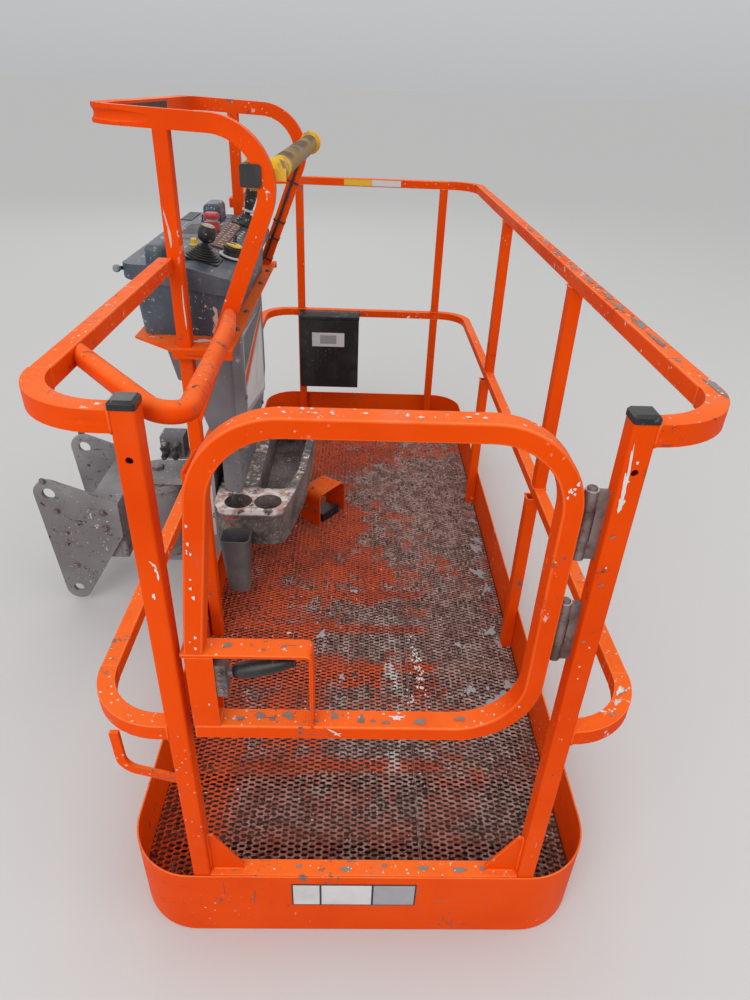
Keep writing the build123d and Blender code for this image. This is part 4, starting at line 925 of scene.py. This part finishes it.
# sensor bar ends with tabs to the leaning tube, in place of the CAD brackets
DISC_RADIUS, DISC_THICK = 0.0320, 0.0040
disc = ((DISC_RADIUS - 0.0006, 0.0), (DISC_RADIUS, 0.0008), (DISC_RADIUS, DISC_THICK - 0.0008),
        (DISC_RADIUS - 0.0006, DISC_THICK))
ends = ((at(-0.2508, 0.832, 1.313), 0.0633), (at(-0.1928, 1.656, 1.319), 0.0180))
discs = [lathe(place, BACK, disc, 36) for place, _ in ends]
discs += [slab(place + Vector((0.0, 0.0004, -0.012)),
               place + Vector((reach, DISC_THICK - 0.0004, 0.012))) for place, reach in ends]
sensor_discs = joined("sensor_discs", discs, mat_yellow)
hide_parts("sensor_brackets")

# ties of the cable round the guard's leaning tube
TUBE_LEAN = math.radians(22)
TIE_HALF = 0.0024
along_tube = Vector((math.sin(TUBE_LEAN), 0, math.cos(TUBE_LEAN)))
across_tube = Vector((math.cos(TUBE_LEAN), 0, -math.sin(TUBE_LEAN)))
ties = []
for z in (1.205, 1.086, 1.034, 0.968):
    centre = at(-0.1723 - (1.3983 - z) * math.tan(TUBE_LEAN), 1.676, z)
    loop = []
    for a, b in ((-1, -1), (1, -1), (1, 1), (-1, 1), (-1, -1)):
        cable = 0.009 if b < 0 else 0.0
        loop.append(centre + across_tube * a * 0.0186 + BACK * (b * 0.0166 - cable))
    for p, q in zip(loop[:-1], loop[1:]):
        side = (q - p).normalized()
        outward = side.cross(along_tube).normalized()
        if outward.dot((p + q) / 2 - centre) < 0:
            outward = -outward
        p, q, high = p - side * 0.001, q + side * 0.001, along_tube * TIE_HALF
        corners = [p - high, q - high, q + high, p + high]
        if outward.dot((corners[1] - corners[0]).cross(corners[2] - corners[1])) < 0:
            corners.reverse()
        ties.append(plate(corners, outward, 0.0012))
joined("cable_ties", ties, mat_black)

# weld beads
POST = 0.032  # width of a post
BEAD_STEPS = 7


def weld_square(x, y, z):
    """Uneven bead round a post where it meets a rail."""
    points = []
    corners = ((x, y), (x + POST, y), (x + POST, y + POST), (x, y + POST), (x, y))
    for (ax, ay), (bx, by) in zip(corners[:-1], corners[1:]):
        for k in range(BEAD_STEPS):
            t = k / BEAD_STEPS
            wobble = random.uniform(-0.0004, 0.0004)
            points.append(at(ax + (bx - ax) * t + wobble, ay + (by - ay) * t + wobble,
                             z + random.uniform(-0.0005, 0.0005)))
    return pipe(points + points[:1], 0.0022, 6)


def weld_line(a, b, radius):
    """Uneven straight bead."""
    steps = max(3, int((b - a).length / 0.006))
    points = []
    for k in range(steps + 1):
        shake = Vector([random.uniform(-0.0003, 0.0003) for _ in range(3)])
        points.append(a.lerp(b, k / steps) + shake)
    return pipe(points, radius, 6)


def weld_lines(name, lines, material, body="platform"):
    """Piece of straight beads from (start, end, radius) rows."""
    beads = [weld_line(at(*a), at(*b), radius) for a, b, radius in lines]
    joined(name, beads, material, body, True)


UNDER_MID, OVER_MID, UNDER_TOP = 0.5710, 0.6030, 1.1160
beads = []
for y in (0.777, 1.603):
    beads += [(0.433, y, OVER_MID), (0.433, y, UNDER_TOP), (0.4207, y, UNDER_MID)]
for x in (-0.306, 0.298):
    beads += [(x, 2.348, OVER_MID), (x, 2.348, UNDER_TOP), (x, 2.3487, UNDER_MID)]
for y in (0.800, 1.660):
    beads += [(-0.447, y, OVER_MID), (-0.447, y, UNDER_MID)]
joined("post_welds", [weld_square(*place) for place in beads], mat_edge, smooth=True)

RAIL_FACES = ((1.117, 1.147), (0.572, 0.602))  # lower and upper face of each rail
rail_ends = (-0.3195, 0.3335)
lines = [((x, 0.006, z), (x, 0.034, z), 0.0020)
         for pair in RAIL_FACES for z in pair for x in rail_ends]
lines += [((x, 0.0050, z0), (x, 0.0050, z1), 0.0018) for x in rail_ends for z0, z1 in RAIL_FACES]
for x, turn in ((-0.2875, 1), (0.3015, -1)):
    lines.append(((x, 0.0173, 0.190), (x, 0.0173, 0.290), 0.0022))
    lines.append(((x + turn * 0.004, 0.0173, 0.1885), (x + turn * 0.060, 0.0173, 0.1885), 0.0022))
weld_lines("front_welds", lines, mat_edge)
weld_lines("mount_welds", [((-0.4680, 1.110, z), (-0.4680, 1.230, z), 0.0028)
                           for z in (0.103, 0.125, 0.395, 0.417)], mat_grey)
weld_lines("support_welds", [((x, y, z), (x, y, 0.375), 0.0030) for y in (1.0250, 1.3150)
                             for x, z in ((-0.7405, 0.185), (-0.8355, 0.290))], mat_grey, "support")

cap = ((0.0105, 0.0), (0.0105, 0.008), (0.0085, 0.009), (0.0085, 0.014), (0.0075, 0.016))
joined("connector_caps", [lathe(at(-0.592 + dx, 1.1100, 0.476 + dz), FRONT, cap, 6)
                          for dx in (-0.017, 0.017) for dz in (0.020, 0.048)], mat_black)

# splashes, runs and rubbed places
GATE_NODES = ("gate_frame", "hinge_barrel", "latch_")
surface_verts, surface_faces, face_bodies = [], [], []
for name, obj in nodes.items():
    if not name.startswith("deck_panel"):
        start = len(surface_verts)
        surface_verts += [obj.matrix_world @ v.co for v in obj.data.vertices]
        surface_faces += [tuple(i + start for i in p.vertices) for p in obj.data.polygons]
        body = "gate" if name.startswith(GATE_NODES) else "platform"
        face_bodies += [body] * len(obj.data.polygons)
surface = BVHTree.FromPolygons(surface_verts, surface_faces)


def lies_on(point, normal):
    """Place on the CAD surface just under or over a point and its body, or nothing."""
    place, face_normal, face, _ = surface.ray_cast(point + normal * 0.004, -normal, 0.016)
    if place is None or abs(face_normal.dot(normal)) < 0.97:
        return None
    return place, face_bodies[face]


def pulled_in(centre, point, normal):
    """Rim point of a splash, moved towards the centre until metal lies under it."""
    outward = (point - centre).normalized()
    for share in (1.0, 0.85, 0.70, 0.55, 0.40, 0.25):
        place = centre.lerp(point, share)
        if lies_on(place + outward * 0.0022, normal):
            return place
    return centre.lerp(point, 0.12)


def plane(normal, along):
    """The normal and two unit vectors square to it, the first nearest to a direction."""
    normal = normal.normalized()
    side = (along - normal * along.dot(normal)).normalized()
    return normal, side, normal.cross(side)


def blob(centre, normal, along, size, ragged=0.30, points=20, held="centre"):
    """Irregular flat splash lying on a surface, or nothing where no metal is under it.

    held says what must lie on CAD metal: the centre, all of it, or nothing, as on the mesh deck.
    """
    normal, side, other = plane(normal, along)
    lift = random.uniform(0.0002, 0.0009)
    body = "platform"
    if held:
        found = lies_on(centre, normal)
        if found is None:
            return None
        centre, body = found
    if held == "all":
        for offset in (side * (size[0] + 0.0035), other * (size[1] + 0.0035)):
            if lies_on(centre + offset, normal) is None or lies_on(centre - offset, normal) is None:
                return None
    phase = random.uniform(0, 6.28)
    rim = []
    for i in range(points):
        t = 2 * math.pi * i / points
        wave = 0.6 * math.sin(3 * t + phase) + 0.4 * math.sin(5 * t + 2 * phase)
        r = 1 + ragged * wave + random.uniform(-0.16, 0.16)
        rim.append(centre + normal * lift + side * math.cos(t) * size[0] * r
                   + other * math.sin(t) * size[1] * r)
    if held:
        rim = [pulled_in(centre + normal * lift, point, normal) for point in rim]
    elif abs(centre.x - CX) + size[0] > 0.447:  # inner face of the toe board
        return None
    return (*plate(rim, normal, 0.0004), body)


def cluster(centre, normal, along, spread, count, sizes, held="all"):
    """Small splashes scattered round a place."""
    normal, side, other = plane(normal, along)
    made = []
    for _ in range(count):
        place = centre + side * random.gauss(0, spread[0]) + other * random.gauss(0, spread[1])
        size = random.uniform(*sizes)
        made.append(blob(place, normal, side, (size * random.uniform(0.8, 1.7), size), held=held))
    return made


def scattered(rows, held="all"):
    """Splashes of clusters; columns: x, y, z, normal, along, 2 spreads, count, least, largest."""
    return [mark for x, y, z, normal, along, *spread, count, least, largest in rows
            for mark in cluster(at(x, y, z), normal, along, spread, count, (least, largest), held)]


def laid(name, marks, material):
    """One piece for each body from the splashes that found a surface."""
    for body in ("platform", "gate"):
        own = [mark[:2] for mark in marks if mark and mark[2] == body]
        if own:
            joined(name if body == "platform" else name + "_gate", own, material, body)


DOWN_POST = Vector((0.08, 0, -1))
SLANT = Vector((1, 1, 0))
NEAR_BACK = Vector((0.2, 1, 0))
white_marks = []
for x, y, z, normal, along, half_length, half_width, ragged in (
    (0.3085, 0.0, 1.094, FRONT, DOWN_POST, 0.024, 0.0016, 0.2),
    (0.3090, 0.0, 1.060, FRONT, DOWN_POST, 0.024, 0.0030, 0.3),
    (0.3095, 0.0, 1.036, FRONT, DOWN_POST, 0.010, 0.0044, 0.4),
    (-0.2935, 0.0, 0.9225, FRONT, Vector((1, 0, -1)), 0.008, 0.0017, 0.3),
    (-0.2920, 0.0, 0.9170, FRONT, Vector((1, 0, 1)), 0.005, 0.0016, 0.3),
    (-0.2905, 0.0, 0.9050, FRONT, Vector((0.2, 0, -1)), 0.011, 0.0026, 0.4),
    (-0.3020, 0.0, 0.8700, FRONT, DOWN_POST, 0.005, 0.0022, 0.3),
    (0.048, 0.030, MID_RAIL, UP, RIGHT, 0.010, 0.0045, 0.4),
    (-0.053, GATE_FACE, 0.592, FRONT, Vector((1, 0, -0.8)), 0.014, 0.0015, 0.3),
    (-0.048, GATE_FACE, 0.588, FRONT, Vector((1, 0, 0.3)), 0.006, 0.0014, 0.3),
    (0.437, 0.095, MID_RAIL, UP, SLANT, 0.011, 0.0045, 0.4),
    (0.424, 0.070, MID_RAIL, UP, SLANT, 0.009, 0.0040, 0.4),
    (-0.4290, 0.560, TOP_RAIL, UP, NEAR_BACK, 0.010, 0.0042, 0.3),
    (-0.4250, 0.592, TOP_RAIL, UP, NEAR_BACK, 0.007, 0.0030, 0.3),
    (-0.4210, 0.800, 1.040, FRONT, UP, 0.050, 0.0016, 0.2),
    (-0.395, 0.850, SHELF, UP, Vector((1, 0.1, 0)), 0.026, 0.0090, 0.5),
):
    white_marks.append(blob(at(x, y, z), normal, along, (half_length, half_width), ragged))
white_marks += scattered((
    (0.247, GATE_FACE, 1.050, FRONT, UP, 0.010, 0.005, 10, 0.0009, 0.0022),
    (0.45, 0.14, TOP_RAIL, UP, SLANT, 0.030, 0.012, 16, 0.0008, 0.0020),
    (0.43, 0.09, MID_RAIL, UP, SLANT, 0.030, 0.010, 18, 0.0008, 0.0020),
    (0.451, 0.90, TOP_RAIL, UP, BACK, 0.30, 0.006, 70, 0.0008, 0.0024),
    (-0.42, 0.50, TOP_RAIL, UP, BACK, 0.16, 0.006, 24, 0.0008, 0.0020),
    (0.23, GATE_FACE, 0.85, FRONT, UP, 0.12, 0.006, 26, 0.0009, 0.0022),
    (-0.255, GATE_FACE, 0.88, FRONT, UP, 0.10, 0.006, 22, 0.0009, 0.0022),
    (0.0, 0.027, 1.141, UP, RIGHT, 0.09, 0.008, 20, 0.0010, 0.0024),
    (0.0, 0.018, SILL_TOP, UP, RIGHT, 0.16, 0.006, 30, 0.0008, 0.0020),
    (-0.15, 0.03, MID_RAIL, UP, RIGHT, 0.14, 0.007, 22, 0.0008, 0.0020),
    (0.305, 0.0, 0.80, FRONT, UP, 0.20, 0.007, 28, 0.0008, 0.0020),
))
laid("white_splashes", white_marks, mat_splash)

rub_marks = []
for z, rows in (  # height; columns: x, y, half length, half width
    (MID_RAIL, ((-0.173, 0.030, 0.008, 0.005), (-0.130, 0.033, 0.007, 0.006),
                (-0.054, 0.032, 0.006, 0.007), (-0.010, 0.026, 0.005, 0.007),
                (0.085, 0.022, 0.010, 0.006), (0.155, 0.028, 0.013, 0.004),
                (-0.205, 0.024, 0.006, 0.004), (0.030, 0.020, 0.007, 0.003))),
    (SILL_TOP, ((-0.245, 0.017, 0.007, 0.004), (-0.232, 0.022, 0.004, 0.005),
                (-0.030, 0.018, 0.011, 0.005), (0.120, 0.020, 0.012, 0.004),
                (0.190, 0.017, 0.014, 0.005), (0.045, 0.024, 0.005, 0.003),
                (-0.120, 0.022, 0.005, 0.004), (0.236, 0.020, 0.006, 0.004))),
):
    rub_marks += [blob(at(x, y, z), UP, RIGHT, (w, d), 0.35) for x, y, w, d in rows]
for x, z, w in ((0.3110, 0.985, 0.004), (0.3120, 0.905, 0.005), (0.3090, 0.80, 0.003)):
    rub_marks.append(blob(at(x, 0.0, z), FRONT, Vector((1, 0, 0.5)), (w, 0.0016), 0.3))
for x, y in ((0.457, 0.130), (0.449, 0.330), (0.452, 0.42), (0.449, 0.52), (0.4535, 0.60),
             (0.450, 0.72), (0.452, 0.83), (0.449, 0.98), (0.452, 1.12), (0.450, 1.30)):
    size = (random.uniform(0.010, 0.034), random.uniform(0.004, 0.009))
    rub_marks.append(blob(at(x, y, TOP_RAIL), UP, BACK, size, 0.4))
rub_marks += scattered((
    (0.451, 0.75, TOP_RAIL, UP, BACK, 0.22, 0.006, 40, 0.0018, 0.0050),
    (-0.43, 0.62, TOP_RAIL, UP, BACK, 0.10, 0.006, 10, 0.0016, 0.0036),
    (0.43, 0.07, MID_RAIL, UP, SLANT, 0.030, 0.010, 8, 0.0018, 0.0040),
    (-0.09, 0.030, MID_RAIL, UP, RIGHT, 0.10, 0.007, 16, 0.0012, 0.0032),
))
for x, y, w in ((-0.215, 0.030, 0.007), (-0.160, 0.022, 0.003), (-0.130, 0.030, 0.004)):
    rub_marks.append(blob(at(x, y, LATCH_GUARD), UP, Vector((1, 0.6, 0)), (w, 0.6 * w), 0.35))
laid("rubbed_places", rub_marks, mat_rub)

runs = [
    blob(at(-0.4385, 0.800, 1.222), FRONT, Vector((0.18, 0, -1)), (0.022, 0.0017), 0.2),
    blob(at(-0.4345, 0.800, 1.190), FRONT, Vector((0.05, 0, -1)), (0.024, 0.0026), 0.2),
]
for x, z, w, h in (
    (-0.362, 1.030, 0.021, 0.006), (-0.356, 1.018, 0.012, 0.009), (-0.366, 1.003, 0.009, 0.015),
    (-0.369, 0.978, 0.007, 0.020), (-0.374, 0.960, 0.006, 0.012), (-0.392, 1.020, 0.003, 0.003),
    (-0.350, 0.992, 0.003, 0.004),
):  # on the console's near face, which leans a little
    y = 0.8870 - (z - 0.947) / 0.167 * 0.007 - 0.0008
    runs.append(blob(at(x, y, z), Vector((0, -1, -0.04)), RIGHT, (w, h), 0.45))
laid("pale_runs", runs, mat_run)
reds = []
for x, z, w in ((-0.402, 0.381, 0.018), (-0.398, 0.3745, 0.020), (-0.404, 0.3560, 0.018),
                (-0.410, 0.3515, 0.010)):  # on the tray's near face
    y = 0.950 + 0.007 * (0.408 - z) / 0.122 - 0.0004
    reds.append(blob(at(x, y, z), FRONT, Vector((1, 0, 0.05)), (w, 0.0011), 0.2))
laid("red_marks", reds, mat_mark_red)

CLOG = DECK_TOP - 0.0004
DROP = DECK_TOP - 0.0002
clogs = []
for x, y, size in (
    (-0.120, 0.813, 0.013), (0.414, 1.278, 0.020), (0.425, 1.330, 0.016), (0.402, 1.133, 0.019),
    (0.420, 1.05, 0.015), (0.400, 0.839, 0.016), (0.420, 0.79, 0.014), (0.368, 0.554, 0.022),
    (0.395, 0.575, 0.018), (0.415, 0.62, 0.014), (0.292, 0.776, 0.007), (0.305, 0.60, 0.012),
    (0.43, 1.46, 0.013), (-0.02, 1.02, 0.008), (0.33, 0.47, 0.010), (-0.055, 0.64, 0.007),
):
    along = Vector((random.uniform(-1, 1), 1, 0))
    clogs.append(blob(at(x, y, CLOG), UP, along, (size * 1.3, size * 0.8), 0.55, 26, None))
    clogs += cluster(at(x, y, CLOG), UP, BACK, (size * 1.3, size * 1.1), 5, (0.0018, 0.0048), None)
laid("deck_clogs", clogs, mat_label)
drops = [blob(at(-0.220, 0.817, CLOG), UP, Vector((1, 0.3, 0)), (0.0065, 0.0045), 0.3, held=None)]
walkway = Vector((-0.1, 1, 0))
drops += scattered((
    (0.160, 0.70, DROP, UP, walkway, 0.060, 0.009, 60, 0.0012, 0.0036),
    (0.140, 0.56, DROP, UP, walkway, 0.040, 0.014, 26, 0.0010, 0.0028),
), None)
for _ in range(150):
    place = at(random.uniform(-0.40, 0.43), random.uniform(0.06, 2.2), DROP)
    size = (random.uniform(0.0012, 0.0034), random.uniform(0.0010, 0.0022))
    drops.append(blob(place, UP, RIGHT, size, 0.3, 12, None))
laid("deck_drops", drops, mat_splash)

# stage with a painted shadow on the floor under the deck, sky and lamps
ground = Shader("studio_floor")
# painted shadow: the floor is near black inside the toe board's outline
under = ground.zone(x=(-0.452, 0.452), y=(0.17, 2.23), soft=0.008)
under = ground.larger(under, ground.zone(x=(-0.41, 0.41), y=(0.06, 2.33), soft=0.008))
ground.finish(ground.mix(under, (0.54, 0.53, 0.52), (0.070, 0.056, 0.050)), 0.9, spec=0.1)
bpy.ops.mesh.primitive_plane_add(size=400, location=(0, 0, -0.001))
floor = bpy.context.object
floor.name = "studio_floor"
floor.data.materials.append(ground.mat)

scene = bpy.context.scene
world = bpy.data.worlds.new("studio")
scene.world = world
world.use_nodes = True
sky = world.node_tree
coord, split, level = [sky.nodes.new("ShaderNode" + kind)
                       for kind in ("TexCoord", "SeparateXYZ", "MapRange")]
level.inputs["To Min"].default_value = 0.50  # strength at the horizon
level.inputs["To Max"].default_value = 1.12  # and overhead
sky.links.new(coord.outputs["Generated"], split.inputs[0])
sky.links.new(split.outputs["Z"], level.inputs["Value"])
background = sky.nodes["Background"]
background.inputs["Color"].default_value = (0.97, 0.985, 1.0, 1.0)
sky.links.new(level.outputs["Result"], background.inputs["Strength"])

for name, where, size, power in (
    ("key", (-2.2, -5.0, 3.6), 4.0, 155.0),
    ("fill", (4.2, -1.5, 3.4), 5.0, 50.0),
    ("back", (-1.5, 6.0, 4.5), 5.0, 50.0),
):
    light = bpy.data.lights.new(name, "AREA")
    light.size = size
    light.energy = power
    lamp = bpy.data.objects.new(name, light)
    scene.collection.objects.link(lamp)
    lamp.location = Vector(where) + at(0, 1.2, 0)
    aim = at(0, 1.1, 0.5) - lamp.location
    lamp.rotation_euler = aim.to_track_quat("-Z", "Y").to_euler()

# camera, solved from points on the basket in a picture 1000 px tall
SENSOR = 36.0
FOCAL_PX, PICTURE_PX = 677.175, 1000.0
camera_data = bpy.data.cameras.new("camera")
camera = bpy.data.objects.new("camera", camera_data)
scene.collection.objects.link(camera)
scene.camera = camera
camera_data.sensor_fit = "VERTICAL"
camera_data.sensor_height = SENSOR
camera_data.lens = SENSOR * FOCAL_PX / PICTURE_PX
camera_data.clip_start = 0.02
camera_data.clip_end = 200.0
yaw, pitch, roll = math.radians(-1.997), math.radians(31.53), math.radians(2.364)
level_ahead = Vector((-math.sin(yaw), math.cos(yaw), 0.0))
level_right = Vector((math.cos(yaw), math.sin(yaw), 0.0))
ahead = level_ahead * math.cos(pitch) - UP * math.sin(pitch)
above = UP * math.cos(pitch) + level_ahead * math.sin(pitch)
right = level_right * math.cos(roll) + above * math.sin(roll)
above = above * math.cos(roll) - level_right * math.sin(roll)
turn = Matrix((right, above, -ahead)).transposed().to_4x4()
camera.matrix_world = Matrix.Translation(at(-0.0288, -0.7243, 1.4810)) @ turn
scene.view_settings.view_transform = "Standard"
